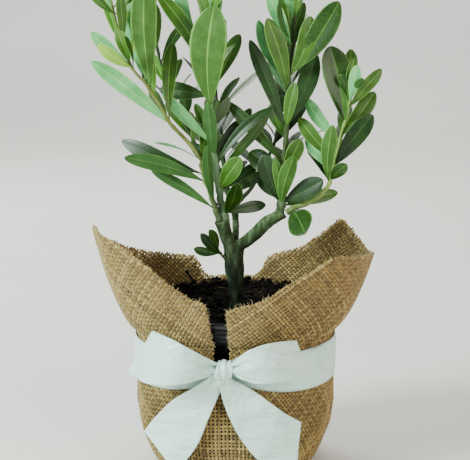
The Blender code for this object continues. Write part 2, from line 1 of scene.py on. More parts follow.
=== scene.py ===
# %% [markdown]
# # A young olive tree in hessian and ribbon
#
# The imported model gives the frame: pot, compost, cloth, bow, trunk, boughs and eight shoots of
# foliage, each a plain solid at its real place. This script dresses them. The cloth is woven from
# real threads, the ribbon is folded satin, and the shoots grow again by the rule that made the
# solids, with finer leaves. Lengths are in millimetres and are turned into metres by MM.

# %% Load the frame
import math
import random
import bmesh  # noqa: E402
import bpy  # noqa: E402
import numpy as np  # noqa: E402
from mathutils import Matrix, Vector, noise  # noqa: E402
from mathutils.bvhtree import BVHTree  # noqa: E402


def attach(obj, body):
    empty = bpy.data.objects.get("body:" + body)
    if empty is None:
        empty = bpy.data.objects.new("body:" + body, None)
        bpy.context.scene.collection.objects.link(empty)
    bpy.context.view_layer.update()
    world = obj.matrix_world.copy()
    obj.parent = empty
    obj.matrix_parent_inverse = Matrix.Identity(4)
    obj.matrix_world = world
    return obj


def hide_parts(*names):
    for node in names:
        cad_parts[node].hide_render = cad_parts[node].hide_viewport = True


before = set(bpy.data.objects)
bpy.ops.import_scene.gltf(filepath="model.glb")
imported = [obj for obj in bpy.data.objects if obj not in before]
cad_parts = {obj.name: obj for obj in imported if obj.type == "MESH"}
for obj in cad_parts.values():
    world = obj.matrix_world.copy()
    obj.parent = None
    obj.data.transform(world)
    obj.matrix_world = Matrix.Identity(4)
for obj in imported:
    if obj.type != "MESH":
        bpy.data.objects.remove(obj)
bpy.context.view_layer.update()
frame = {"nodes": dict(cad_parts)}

MM = 0.001
print("nodes:", ", ".join(frame["nodes"]))

# %% [markdown]
# ## Small helpers
# Colours are written as they look on a screen and turned into the linear values that Blender
# wants. `add` puts one node in a material, sets its inputs by name and links what is passed in.


# %% Colour, node and mesh helpers
def rgb(code):
    """Linear colour from a hex code such as '#c8b48c'."""
    parts = [int(code[i:i + 2], 16) / 255 for i in (1, 3, 5)]
    return tuple(c / 12.92 if c <= 0.04045 else ((c + 0.055) / 1.055) ** 2.4 for c in parts) + (1.0,)


def add(material, kind, **inputs):
    """One node, with its inputs given as values or as sockets to link."""
    tree = material.node_tree
    node = tree.nodes.new(kind)
    for key, value in inputs.items():
        socket = next(s for s in node.inputs if s.name.replace(" ", "_").lower() == key.lower())
        if isinstance(value, bpy.types.NodeSocket):
            tree.links.new(value, socket)
        else:
            socket.default_value = value
    return node


def surface(name, roughness, ior=1.5, **fixed):
    """A material with a Principled shader, and that shader."""
    made = bpy.data.materials.new(name)
    made.use_nodes = True
    shader = made.node_tree.nodes["Principled BSDF"]
    shader.inputs["Roughness"].default_value = roughness
    shader.inputs["IOR"].default_value = ior
    for key, value in fixed.items():
        shader.inputs[key.replace("_", " ")].default_value = value
    return made, shader


def link(material, output, shader, name):
    """Links an output to the shader's input of that name."""
    material.node_tree.links.new(output, shader.inputs[name])


def ramp(material, factor, stops):
    """Colour ramp through stops of a share and a hex code."""
    node = add(material, "ShaderNodeValToRGB", Fac=factor)
    elements = node.color_ramp.elements
    while len(elements) < len(stops):
        elements.new(0.5)
    for element, (share, code) in zip(elements, stops):
        element.position, element.color = share, rgb(code)
    return node.outputs["Color"]


def bump(material, height, strength, distance_mm):
    """Relief of a surface, from a height between 0 and 1."""
    return add(material, "ShaderNodeBump", Strength=strength, Distance=distance_mm * MM,
               Height=height).outputs["Normal"]


def mottle(material, where, scale, detail=4.0, roughness=0.6, stretch=(1, 1, 1)):
    """Noise whose grain is `scale` per metre, drawn out by `stretch`."""
    moved = add(material, "ShaderNodeMapping", Vector=where, Scale=stretch).outputs["Vector"]
    return add(material, "ShaderNodeTexNoise", Vector=moved, Scale=scale, Detail=detail,
               Roughness=roughness).outputs["Fac"]


def mixed(material, factor, below, above):
    """Colour that goes from one input to the other with the factor."""
    node = add(material, "ShaderNodeMix")
    node.data_type = "RGBA"
    for name, value in (("Factor_Float", factor), ("A_Color", below), ("B_Color", above)):
        socket = next(s for s in node.inputs if s.identifier == name)
        material.node_tree.links.new(value, socket)
    return next(s for s in node.outputs if s.identifier == "Result_Color")


def place(material):
    """Where a point lies on its own piece."""
    return add(material, "ShaderNodeTexCoord").outputs["Object"]


def piece(name, points, faces, materials, indices=None, smooth=True):
    """Mesh object from points in millimetres, riding on the root body."""
    data = bpy.data.meshes.new(name)
    points = np.asarray(points, dtype=np.float64).reshape(-1, 3) * MM
    if isinstance(faces, np.ndarray):
        count, sides = faces.shape
        data.vertices.add(len(points))
        data.vertices.foreach_set("co", points.ravel())
        data.loops.add(count * sides)
        data.loops.foreach_set("vertex_index", faces.astype(np.int32).ravel())
        data.polygons.add(count)
        data.polygons.foreach_set("loop_start", np.arange(0, count * sides, sides, dtype=np.int32))
        data.update(calc_edges=True)
    else:
        data.from_pydata(points.tolist(), [], faces)
    for material in materials:
        data.materials.append(material)
    if indices is not None:
        data.polygons.foreach_set("material_index", np.asarray(indices, dtype=np.int32))
    if smooth:
        data.polygons.foreach_set("use_smooth", np.ones(len(data.polygons), dtype=bool))
    data.update()
    made = bpy.data.objects.new(name, data)
    bpy.context.scene.collection.objects.link(made)
    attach(made, "root")
    return made


def thicken(made, thick):
    """Gives a sheet its thickness, half on each side."""
    layer = made.modifiers.new("thickness", "SOLIDIFY")
    layer.thickness, layer.offset = thick * MM, 0.0


def gather(points, faces, more, quads):
    """Adds a body to the points and faces of a piece that holds several."""
    start = len(points)
    points += more
    faces += [tuple(start + i for i in face) for face in quads]


def grid_faces(rows, columns):
    """Quads of a grid of points that are listed row by row."""
    return [(columns * i + c, columns * i + c + 1, columns * (i + 1) + c + 1, columns * (i + 1) + c)
            for i in range(rows - 1) for c in range(columns - 1)]


def smooth_path(points, steps):
    """Catmull-Rom curve through the points."""
    pts = [Vector(p) for p in points]
    last, out = len(pts) - 1, []
    for i in range(last):
        p0, p1, p2, p3 = (pts[min(max(i + k, 0), last)] for k in (-1, 0, 1, 2))
        for s in range(steps):
            u = s / steps
            out.append(0.5 * ((2 * p1) + (p2 - p0) * u + (2 * p0 - 5 * p1 + 4 * p2 - p3) * u * u
                              + (3 * p1 - p0 - 3 * p2 + p3) * u ** 3))
    out.append(pts[-1])
    return out


def rings(sections):
    """Quads between successive rings of equal count, and a face on both ends."""
    points, faces, n = [tuple(p) for section in sections for p in section], [], len(sections[0])
    for i in range(len(sections) - 1):
        low, high = i * n, (i + 1) * n
        for k in range(n):
            faces.append((low + k, low + (k + 1) % n, high + (k + 1) % n, high + k))
    faces.append(tuple(range(n))[::-1])
    faces.append(tuple((len(sections) - 1) * n + k for k in range(n)))
    return points, faces


def circle(radius, height, count):
    """Ring of points round the pot's axis."""
    turns = [2 * math.pi * k / count for k in range(count)]
    return [(radius * math.cos(a), radius * math.sin(a), height) for a in turns]


def spaced(values, count):
    """The values drawn out to this many, evenly."""
    return [float(v) for v in np.interp(np.linspace(0, 1, count), np.linspace(0, 1, len(values)), values)]


def wander(rng, length, every, size):
    """Smooth random drift of the given size, with a new value about `every` samples."""
    knots = max(2, int(length / every) + 2)
    return np.interp(np.linspace(0, knots - 1, length), np.arange(knots), rng.normal(0, size, knots))


# %% [markdown]
# ## Camera, floor and light
# The camera stands 0.68 m in front and 0.25 m up, and looks 10 degrees down through a long lens.
# The floor is plain pale paper that sweeps up behind. A soft cool light hangs to the left and in
# front, one behind gives the leaves their bright edges, a weaker warm one fills the right, and the
# last one is aimed at the paper behind.

# %% Camera, floor and lights
CAMERA_AT, CAMERA_DOWN, CAMERA_LENS = (0.0, -681.0, 248.0), 10.09, 99.27
PAPER_EDGE, PAPER_BEND_AT, PAPER_BEND_R, PAPER_HALF = -60.0, 1.4, 1.6, 40.0  # in metres

lens = bpy.data.cameras.new("camera")
lens.sensor_width, lens.lens = 36.0, CAMERA_LENS
camera = bpy.data.objects.new("camera", lens)
camera.location = [c * MM for c in CAMERA_AT]
camera.rotation_euler = (math.radians(90 - CAMERA_DOWN), 0.0, 0.0)
bpy.context.scene.collection.objects.link(camera)
bpy.context.scene.camera = camera

sweep = [(PAPER_EDGE, 0.0), (PAPER_BEND_AT, 0.0)]  # depth and height
for bend in range(6, 91, 6):
    a = math.radians(bend)
    sweep.append((PAPER_BEND_AT + PAPER_BEND_R * math.sin(a), PAPER_BEND_R - PAPER_BEND_R * math.cos(a)))
sweep.append((PAPER_BEND_AT + PAPER_BEND_R, 12.0))
data = bpy.data.meshes.new("floor")
data.from_pydata([(side * PAPER_HALF, y, z) for y, z in sweep for side in (-1, 1)], [],
                 [(2 * i, 2 * i + 1, 2 * i + 3, 2 * i + 2) for i in range(len(sweep) - 1)])
data.polygons.foreach_set("use_smooth", [True] * len(data.polygons))
floor = bpy.data.objects.new("floor", data)
bpy.context.scene.collection.objects.link(floor)
paper, paper_shader = surface("pale_floor", 0.8)
grain = mottle(paper, place(paper), 3.0, 2.0)
link(paper, ramp(paper, grain, [(0.3, "#dedcd7"), (0.7, "#e4e2dd")]), paper_shader, "Base Color")
floor.data.materials.append(paper)

world = bpy.data.worlds.new("studio")
world.use_nodes = True
world.node_tree.nodes["Background"].inputs["Color"].default_value = rgb("#e9edf0")
world.node_tree.nodes["Background"].inputs["Strength"].default_value = 0.24
bpy.context.scene.world = world


def softbox(name, at, size, watts, code, aim=(0.0, 0.0, 0.13)):
    """Square area light, in metres, aimed at the middle of the plant or at another point."""
    lamp = bpy.data.lights.new(name, "AREA")
    lamp.shape, lamp.size, lamp.energy, lamp.color = "SQUARE", size, watts, rgb(code)[:3]
    made = bpy.data.objects.new(name, lamp)
    made.location = at
    made.rotation_euler = (Vector(aim) - Vector(at)).to_track_quat("-Z", "Y").to_euler()
    bpy.context.scene.collection.objects.link(made)


softbox("key_left", (-1.10, -0.62, 0.72), 0.45, 46.0, "#e6faf3")
softbox("rim_back", (-0.50, 0.95, 0.95), 0.7, 12.0, "#f4fff2")
softbox("fill_right", (0.9, -1.0, 0.6), 0.8, 17.0, "#fff5ea")
softbox("backdrop_wash", (0.0, 0.9, 2.4), 1.4, 70.0, "#ffffff", (0.0, 3.0, 0.9))
print("camera", tuple(round(c, 3) for c in camera.location), "lens", lens.lens)

# %% [markdown]
# ## Materials
# Jute is dull and fuzzy, so it gets sheen and a high roughness. Threads differ a little, so there
# are three tones that are dealt out thread by thread. Satin has a cool sheen, a fine grain and
# soft dents. All materials vary with noise whose scale is given per metre.


# %% Jute, satin, plastic and compost
def jute(name, low, high):
    made, shader = surface(name, 0.88, 1.5, Sheen_Weight=0.25, Sheen_Roughness=0.5)
    where = place(made)
    tone = mottle(made, where, 260.0, 5.0, 0.7)
    link(made, ramp(made, tone, [(0.3, low), (0.7, high)]), shader, "Base Color")
    link(made, bump(made, mottle(made, where, 3800.0, 3.0), 0.6, 0.18), shader, "Normal")
    return made


JUTES = [jute("jute_thread_brown", "#594515", "#846629"), jute("jute_thread_straw", "#6f571f", "#9d803d"),
         jute("jute_thread_pale", "#836b2f", "#b49957")]
# The felt is far darker than the threads: painted shade of the holes between them.
FELT_SHADE = jute("jute_felt", "#2c2009", "#4a3815")
FRAY, fray_shader = surface("jute_fray", 0.8, Sheen_Weight=0.3)
link(FRAY, ramp(FRAY, mottle(FRAY, place(FRAY), 300.0), [(0.35, "#a3884a"), (0.65, "#d8c896")]),
     fray_shader, "Base Color")

SATIN, satin_shader = surface("polyester_satin", 0.33, 1.5, Sheen_Weight=0.25, Sheen_Roughness=0.3,
                              Anisotropic=0.4)
where = place(SATIN)
link(SATIN, ramp(SATIN, mottle(SATIN, where, 35.0, 3.0), [(0.3, "#bddbd2"), (0.7, "#d3ebe3")]),
     satin_shader, "Base Color")
grain = bump(SATIN, mottle(SATIN, where, 1500.0, 2.0, 0.5), 0.5, 0.12)
ease = bump(SATIN, mottle(SATIN, where, 85.0, 3.0, 0.5, (0.6, 1.0, 1.6)), 1.0, 3.2)
link(SATIN, grain, ease.node, "Normal")
link(SATIN, ease, satin_shader, "Normal")

PLASTIC, plastic_shader = surface("black_polypropylene", 0.24, 1.49)
where = place(PLASTIC)
link(PLASTIC, ramp(PLASTIC, mottle(PLASTIC, where, 90.0), [(0.35, "#050506"), (0.7, "#0f1011")]),
     plastic_shader, "Base Color")
link(PLASTIC, bump(PLASTIC, mottle(PLASTIC, where, 500.0), 0.15, 0.2), plastic_shader, "Normal")

PEAT, peat_shader = surface("damp_peat", 0.95, 1.45, Specular_IOR_Level=0.08)
where = place(PEAT)
link(PEAT, ramp(PEAT, mottle(PEAT, where, 420.0, 6.0, 0.7),
                [(0.3, "#040303"), (0.58, "#0c0a08"), (0.8, "#241a11")]), peat_shader, "Base Color")
link(PEAT, bump(PEAT, mottle(PEAT, where, 1500.0, 6.0), 0.9, 0.5), peat_shader, "Normal")
FIBRE, fibre_shader = surface("root_fibre", 0.85, Specular_IOR_Level=0.15)
link(FIBRE, ramp(FIBRE, mottle(FIBRE, place(FIBRE), 120.0), [(0.4, "#1d150d"), (0.62, "#5d4c35")]),
     fibre_shader, "Base Color")


# %% [markdown]
# ## The woven hessian
# The cloth is laid out flat first: A runs round the pot and B runs up it, both in millimetres of
# cloth. A thread is a straight line on the flat cloth, and `cloth_at` carries it to the pot. One
# weave, turned on the bias, makes the back, the sides and the flaps. A second one, square to the
# pot, fills the front below the bow. Every crossing lifts one thread over the other.

# %% Shape of the cloth
TIE_R, TIE_Z = 53.2, 76.0
BULGE = [(39.5, 0.0), (43.6, 3.2), (47.0, 9.5), (51.4, 21.0), (53.3, 34.0), (52.9, 52.0), (53.2, 76.0)]
# Top edge of the cloth: bearing in degrees, radius, height
EDGE = [(-94.5, 57.0, 95.7), (-77.7, 58.0, 100.3), (-58.7, 62.0, 111.1), (-42.7, 68.0, 120.8),
        (-18.1, 73.5, 117.0), (9.4, 74.0, 112.5), (20.3, 72.0, 119.6), (31.0, 70.0, 127.8),
        (39.4, 66.0, 118.2), (53.0, 62.0, 107.5), (70.5, 58.0, 102.3), (76.0, 55.0, 90.5),
        (108.0, 55.0, 90.5), (113.5, 57.0, 102.4), (125.0, 60.0, 104.1), (139.0, 64.0, 106.6),
        (149.5, 71.0, 110.5), (168.0, 76.5, 121.0), (181.0, 76.2, 128.6), (190.0, 75.5, 131.0),
        (200.0, 75.0, 130.4), (221.5, 73.0, 125.3),
        (230.2, 66.0, 115.7), (240.2, 60.0, 105.8), (247.3, 58.0, 101.0), (254.9, 57.0, 99.4)]
SLIT_FOOT = (-93.0, 258.5)  # bearings of the slit's two sides at the ribbon
MID = 0.62  # the middle of the cloth lies this far inside its outer face
# Where the square front piece meets the bias one: height, right bearing, left bearing
FRONT = [(0.0, -47.0, 225.0), (17.0, -50.0, 229.5), (23.0, -53.5, 233.0), (31.0, -68.0, 238.0),
         (42.0, -80.6, 247.5), (54.0, -90.0, 256.4), (62.0, -93.0, 258.5)]

bulge_r, bulge_z = np.array(BULGE).T
rise = np.concatenate([[0.0], np.cumsum(np.hypot(np.diff(bulge_r), np.diff(bulge_z)))])
TIE_B = float(rise[-1])
edge_b, edge_r, edge_z = np.array(EDGE).T
edge_len = np.hypot(edge_z - TIE_Z, 0.8 * (edge_r - TIE_R))
ROUND = TIE_R * math.pi / 180  # millimetres of flat cloth for one degree


def edge_at(foot):
    """Top bearing, radius, height and flat length of the cloth above the ribbon."""
    share = (foot - SLIT_FOOT[0]) / (SLIT_FOOT[1] - SLIT_FOOT[0])
    top = edge_b[0] + share * (edge_b[-1] - edge_b[0])
    soft = [(0.5 * np.interp(top, edge_b, row) + 0.25 * np.interp(top - 2.2, edge_b, row)
             + 0.25 * np.interp(top + 2.2, edge_b, row)) for row in (edge_r, edge_z, edge_len)]
    return (top, *soft)


def cloth_face(a, b):
    """Point on the outer face of the cloth at flat place (a, b)."""
    foot = a / ROUND
    top, top_r, top_z, length = edge_at(foot)
    low = np.minimum(b, TIE_B)
    up = np.maximum(b - TIE_B, 0.0) / length
    radius = np.interp(low, rise, bulge_r) + (top_r - TIE_R) * up ** 0.55
    height = np.interp(low, rise, bulge_z) + (top_z - TIE_Z) * up
    bearing = np.radians(foot + (top - foot) * up)
    fold = np.where(b > TIE_B, 0.35 + 0.55 * np.minimum(up, 1.0), 0.9 * np.clip(height / 20.0, 0.0, 1.0)
                    * np.where(height < 45, 1.0, 0.35 + 0.65 * np.clip((60 - height) / 15, 0, 1)))
    radius = radius + fold * (0.55 * np.sin(9 * bearing + 0.6) + 0.45 * np.sin(14 * bearing + 2.1))
    return np.stack([radius * np.cos(bearing), radius * np.sin(bearing), height], -1)


def cloth_at(a, b):
    """Middle of the cloth and its outward normal."""
    step = 0.4
    face = cloth_face(a, b)
    normal = np.cross(cloth_face(a + step, b) - cloth_face(a - step, b),
                      cloth_face(a, b + step) - cloth_face(a, np.maximum(b - step, 0.0)))
    normal /= np.linalg.norm(normal, axis=1, keepdims=True)
    return face - MID * normal, normal


def height_of(b):
    return np.interp(np.minimum(b, TIE_B), rise, bulge_z)


def in_main(a, b):
    """True on the bias cloth: round the back, and up into both flaps."""
    z, foot = height_of(b), a / ROUND
    heights, right, left = np.array(FRONT).T
    return ((foot > np.interp(z, heights, right)) & (foot < np.interp(z, heights, left)) & (b > 0.0)
            & (b < TIE_B + edge_at(foot)[3]))


def in_front(a, b):
    """True on the square piece under the bow."""
    z, foot = height_of(b), a / ROUND
    heights, right, left = np.array(FRONT).T
    return ((foot < np.interp(z, heights, right) + 0.4) & (foot > np.interp(z, heights, left) - 360.4)
            & (b > 0.0) & (z < 59.0))


# %% Threads
THREAD_WIDE, THREAD_DEEP, LIFT = 1.24, 0.74, 0.38
rng_cloth = np.random.default_rng(5)


def bias(w, k, turn, anchor):
    """Flat place of the weave's own coordinate w. The grain turns slowly with A, at rate k."""
    w = w * np.exp(1j * math.radians(turn))
    return anchor + np.log(1 + 1j * k * w) / (1j * k)


def weave_lines(pitch, to_flat, carry, inside, reach, loose):
    """Both thread families, as (family, centre points, normals) runs cut off at the cloth's edge."""
    def place_of(family, q, off):
        flat = to_flat(q + 1j * off if family == 0 else off + 1j * q)
        return flat.real, flat.imag

    def cut(family, good, bad, off):
        """Where the thread crosses the edge, and a little further where the edge is frayed."""
        for _ in range(5):
            half = 0.5 * (good + bad)
            good, bad = (half, bad) if inside(*place_of(family, np.array([half]), off))[0] else (good, half)
        frayed = loose(*place_of(family, np.array([good]), off))
        return good + np.sign(bad - good) * (abs(rng_cloth.normal(0.25, 0.45)) if frayed else 0.0)

    runs = []
    for family in (0, 1):
        for i in range(-reach, reach + 1):
            q = np.arange(-2 * reach, 2 * reach + 1) * (pitch / 2)
            off = i * pitch + wander(rng_cloth, len(q), 18, 0.05 * pitch)
            keep = inside(*place_of(family, q, off))
            keep[0] = keep[-1] = False
            edges = np.flatnonzero(np.diff(np.concatenate([[0], keep.astype(int), [0]])))
            for first, last in zip(edges[::2], edges[1::2]):
                if last - first < 2:
                    continue
                at = np.arange(first, last)
                low = cut(family, q[first], q[first - 1], off[first])
                high = cut(family, q[last - 1], q[last], off[last - 1])
                middle, normal = carry(*place_of(family, np.concatenate([[low], q[at], [high]]),
                                                 off[np.concatenate([[first], at, [last - 1]])]))
                index = at - 2 * reach  # even at a crossing
                sign = np.where((index // 2 + i) % 2 == 0, 1.0, -1.0) * (1 if family == 0 else -1)
                lift = np.where(index % 2 == 0, sign * LIFT, 0.0)
                lift = np.concatenate([[0.5 * lift[0]], lift, [0.5 * lift[-1]]])
                keep_ring = np.ones(len(at) + 2, dtype=bool)
                keep_ring[1] = abs(low - q[first]) > 0.12 * pitch
                keep_ring[-2] = abs(high - q[last - 1]) > 0.12 * pitch
                middle = (middle + lift[:, None] * normal)[keep_ring]
                runs.append((family, middle, normal[keep_ring]))
    return runs


def thread_piece(name, runs, wide, deep):
    """Closed flat tubes with four sides, one for every run."""
    rings_all, owner, materials = [], [], []
    for t, (_, middle, normal) in enumerate(runs):
        along = np.gradient(middle, axis=0)
        along /= np.linalg.norm(along, axis=1, keepdims=True)
        side = np.cross(along, normal)
        side /= np.linalg.norm(side, axis=1, keepdims=True)
        n = len(middle)
        slub = 1.0 + wander(rng_cloth, n, 7, 0.10)[:, None] + wander(rng_cloth, n, 2, 0.05)[:, None]
        stretch = 0.96 + 1.2 * np.clip(np.hypot(middle[:, :1], middle[:, 1:2]) / TIE_R - 1.0, 0.0, 0.4)
        slub = np.clip(slub, 0.75, 1.3) * rng_cloth.uniform(0.92, 1.08) * stretch
        taper = np.ones((n, 1))
        taper[0] = taper[-1] = 0.6
        half_w, half_d = side * wide / 2 * slub * taper, normal * deep / 2 * slub ** 0.5 * taper
        rings_all.append(np.stack([middle - half_w, middle + half_d, middle + half_w, middle - half_d], 1))
        owner.append(np.full(n, t))
        materials.append(rng_cloth.choice(3, p=(0.3, 0.5, 0.2)))
    ring = np.concatenate(rings_all)
    owner = np.concatenate(owner)
    ring[:, :, 2] = np.maximum(ring[:, :, 2], 0.04)
    starts = np.flatnonzero(np.diff(np.concatenate([[-1], owner])))
    ends = np.concatenate([starts[1:] - 1, [len(owner) - 1]])
    inner = np.flatnonzero(np.append(owner[:-1] == owner[1:], False))
    quads = [np.stack([4 * inner + k, 4 * inner + (k + 1) % 4, 4 * inner + 4 + (k + 1) % 4,
                       4 * inner + 4 + k], 1) for k in range(4)]
    quads.append(4 * starts[:, None] + np.array([3, 2, 1, 0]))
    quads.append(4 * ends[:, None] + np.array([0, 1, 2, 3]))
    tone = np.array(materials)
    index = np.concatenate([tone[owner[inner]]] * 4 + [tone, tone])
    made = piece(name, ring.reshape(-1, 3), np.concatenate(quads), JUTES, index)
    print(f"{name}: {len(runs)} threads, {2 * len(made.data.polygons)} triangles")
    return made


BIAS_PITCH, BIAS_TURN, BIAS_RATE, BIAS_REACH = 1.70, 37.0, -0.00095, 230
SQUARE_PITCH, FRONT_REACH, BASE_REACH = 2.1, 50, 20
BASE_R, BASE_Z, BASE_DEEP = 39.3, 0.78, 0.55
BIAS_ANCHOR, FRONT_ANCHOR = complex(-70.0 * ROUND, TIE_B), complex(-92.0 * ROUND, 0.9)


def at_top(a, b):
    """True along the frayed top edge."""
    return b[0] > TIE_B + edge_at(a / ROUND)[3][0] - 0.6


def never(a, b):
    """These threads aren't frayed."""
    return False


def on_base(a, b):
    """Middle of the cloth under the pot and its outward normal, which looks down."""
    return np.stack([a, b, np.full(len(a), BASE_Z)], -1), np.tile([0.0, 0.0, -1.0], (len(a), 1))


main_runs = weave_lines(BIAS_PITCH, lambda w: bias(w, BIAS_RATE, BIAS_TURN, BIAS_ANCHOR), cloth_at, in_main,
                        BIAS_REACH, at_top)
front_runs = weave_lines(SQUARE_PITCH, lambda w: w + FRONT_ANCHOR, cloth_at, in_front, FRONT_REACH, never)
base_runs = weave_lines(SQUARE_PITCH, lambda w: w, on_base, lambda a, b: np.hypot(a, b) < BASE_R,
                        BASE_REACH, never)
cloth_pieces = []
for family, label in ((0, "weft"), (1, "warp")):
    cloth_pieces.append(thread_piece(f"hessian_{label}", [r for r in main_runs if r[0] == family],
                                     THREAD_WIDE, THREAD_DEEP))
cloth_pieces.append(thread_piece("hessian_front", front_runs, THREAD_WIDE, THREAD_DEEP))
cloth_pieces.append(thread_piece("hessian_base", base_runs, THREAD_WIDE, BASE_DEEP))


# %% Felt, dark as painted shade
# Loose fibre closes most of the holes of a hessian, so a thin felt lies behind the threads. Its dark colour
# is painted shade, the shadow seen in the holes between the threads.
FELT_CELL, FELT_DEPTH, FELT_THICK = 2.0, 0.24, 0.08
felt_a = np.arange(SLIT_FOOT[0] * ROUND, SLIT_FOOT[1] * ROUND, FELT_CELL)
felt_b = np.arange(1.0, TIE_B + edge_len.max(), FELT_CELL)
grid_a, grid_b = (g.ravel() for g in np.meshgrid(felt_a, felt_b, indexing="ij"))
covered = np.ones(len(grid_a), dtype=bool)
for side_a, side_b in ((-0.8, 0.0), (0.8, 0.0), (0.0, 1.0)):
    at = (grid_a + side_a, grid_b + side_b)
    covered &= in_main(*at) | in_front(*at)
felt_at, felt_out = cloth_at(grid_a, grid_b)
felt_at = felt_at - FELT_DEPTH * felt_out
corner = np.arange(len(grid_a)).reshape(len(felt_a), len(felt_b))
cells = np.stack([corner[:-1, :-1], corner[1:, :-1], corner[1:, 1:], corner[:-1, 1:]], -1).reshape(-1, 4)
cells = cells[covered[cells].all(1)]
used = np.unique(cells)
shade_felt = piece("hessian_felt", felt_at[used], np.searchsorted(used, cells), [FELT_SHADE])
thicken(shade_felt, FELT_THICK)
cloth_pieces.append(shade_felt)
print("felt:", len(cells), "cells")


# %% Frayed ends and loose hairs
def hair_piece(name, hairs, material, sides=3):
    """Thin curved tubes from (points, radius) pairs."""
    points, faces = [], []
    for path, radius in hairs:
        sections, side = [], Vector((0.31, 0.52, 0.80))
        for i, p in enumerate(path):
            along = (path[min(i + 1, len(path) - 1)] - path[max(i - 1, 0)]).normalized()
            side = (side - side.dot(along) * along).normalized()
            other = along.cross(side)
            r = radius * (1.0 - 0.6 * i / (len(path) - 1))
            sections.append([p + r * (math.cos(2 * math.pi * k / sides) * side
                                      + math.sin(2 * math.pi * k / sides) * other) for k in range(sides)])
        gather(points, faces, *rings(sections))
    return piece(name, points, faces, [material])


def curl(rng, start, towards, length, bend, steps=4):
    """A hair that bends at random as it goes."""
    path, way = [Vector(start)], Vector(towards).normalized()
    for _ in range(steps):
        path.append(path[-1] + way * (length / steps))
        way = (way + Vector([rng.gauss(0, bend) for _ in range(3)])).normalized()
    return path


def cloth_spot(foot, b):
    """Middle of the cloth and its outward normal at one bearing and flat height."""
    middle, normal = cloth_at(np.array([foot * ROUND]), np.array([b]))
    return Vector(middle[0]), Vector(normal[0])


def toss(rng, size):
    """Random vector."""
    return Vector([rng.gauss(0, size) for _ in range(3)])


EDGE_HAIRS, SLIT_HAIRS, LOOSE_HAIRS = 620, 130, 1500
rng = random.Random(7)
hairs = []
for _ in range(EDGE_HAIRS):
    foot = rng.uniform(*SLIT_FOOT)
    middle, normal = cloth_spot(foot, TIE_B + float(edge_at(foot)[3]) * rng.uniform(0.93, 1.0))
    up = Vector((0.25 * normal.x, 0.25 * normal.y, 1.0)) + toss(rng, 0.5)
    hairs.append((curl(rng, middle, up, rng.uniform(1.2, 3.8), 0.4), rng.uniform(0.05, 0.11)))
for _ in range(SLIT_HAIRS):
    side = rng.choice(SLIT_FOOT)
    inward = 1.0 if side < 0 else -1.0
    b = TIE_B + rng.uniform(0.0, 0.95) * float(edge_at(side)[3])
    middle, normal = cloth_spot(side + 0.6 * inward, b)
    across = Vector((-inward, -0.2, rng.gauss(0.1, 0.5)))
    hairs.append((curl(rng, middle, across, rng.uniform(0.8, 2.6), 0.5), rng.uniform(0.05, 0.10)))
for _ in range(LOOSE_HAIRS):
    foot, b = rng.uniform(-90, 250), rng.uniform(2.0, TIE_B + 36.0)
    if not in_main(np.array([foot * ROUND]), np.array([b]))[0]:
        continue
    middle, normal = cloth_spot(foot, b)
    out = normal * rng.choice((1, 1, -1))
    hairs.append((curl(rng, middle + 0.5 * out, 0.5 * out + toss(rng, 1), rng.uniform(0.8, 2.4), 0.5, 3),
                  rng.uniform(0.035, 0.06)))
cloth_pieces.append(hair_piece("hessian_fray", hairs, FRAY))
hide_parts("hessian_wrap")
for other in cloth_pieces[1:]:
    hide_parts("hessian_wrap")
print("hessian pieces:", ", ".join(p.name for p in cloth_pieces))

# %% [markdown]
# ## Ribbon and bow
# The ribbon is 25 mm satin. Each length is a strip drawn between its two edges. Near the knot the
# edges close in and the strip folds into pleats, so creases fan out from the knot.

# %% Ribbon strips
RIBBON_WIDTH, SATIN_THICK = 25.0, 0.32
RIBBON_COLUMNS = 28  # quads from edge to edge


def satin_run(name, near, far, fold):
    """Ribbon drawn between two edges; fold(s, u) lifts it, s along the ribbon and u from edge to edge."""
    near, far = smooth_path(near, 9), smooth_path(far, 9)
    last, points = len(near) - 1, []
    for i in range(last + 1):
        ahead, behind = min(i + 1, last), max(i - 1, 0)
        along = near[ahead] + far[ahead] - near[behind] - far[behind]
        deep = along.cross(far[i] - near[i]).normalized()
        for c in range(RIBBON_COLUMNS + 1):
            u = c / RIBBON_COLUMNS
            points.append(near[i].lerp(far[i], u) + deep * fold(i / last, u))
    made = piece(name, points, grid_faces(last + 1, RIBBON_COLUMNS + 1), [SATIN])
    thicken(made, SATIN_THICK)
    return made


def crumple(s, u, seed):
    """Soft dents, in millimetres."""
    broad = noise.noise(Vector((7.0 * s, 2.6 * u, seed)))
    return broad + 0.5 * noise.noise(Vector((17.0 * s, 6.0 * u, seed)))


def near_knot(s, reach):
    """1 at the knot, down to 0 at this share of the length."""
    return max(0.0, 1.0 - s / reach) ** 1.6


def loop_fold(side):
    """Billow of a loop's two layers and the creases that run out of the knot."""
    def fold(s, u):
        layer = s if s < 0.54 else 1.0 - s
        crease = 1.1 * math.sin(11.5 * u + 0.6) + 0.6 * math.sin(23.0 * u + 2.0)
        dimple = -1.1 * math.exp(-((u - 0.52 + 0.5 * layer) / 0.16) ** 2 - ((layer - 0.10) / 0.08) ** 2)
        billow = 1.3 * math.sin(math.pi * u) * math.sin(min(1.0, layer / 0.45) * math.pi)
        soft = 0.55 * crumple(s, u, 3.0 + side) * min(1.0, 6.0 * layer)
        return side * (near_knot(layer, 0.36) * crease + (dimple if s < 0.5 else 0.0) + billow) + soft
    return fold


def tail_fold(side):
    """Creases of a tail by the knot and its slow wave."""
    def fold(s, u):
        crease = 0.7 * math.sin(9.5 * u + 1.0 + side) + 0.3 * math.sin(17.0 * u)
        wave = 0.9 * math.sin(2.6 * u + 3.4 * s + side) * math.sin(math.pi * min(1.0, s * 1.2))
        return near_knot(s, 0.55) * crease + wave + 0.6 * crumple(s, u, 8.0 + side) * min(1.0, 3.0 * s)
    return fold


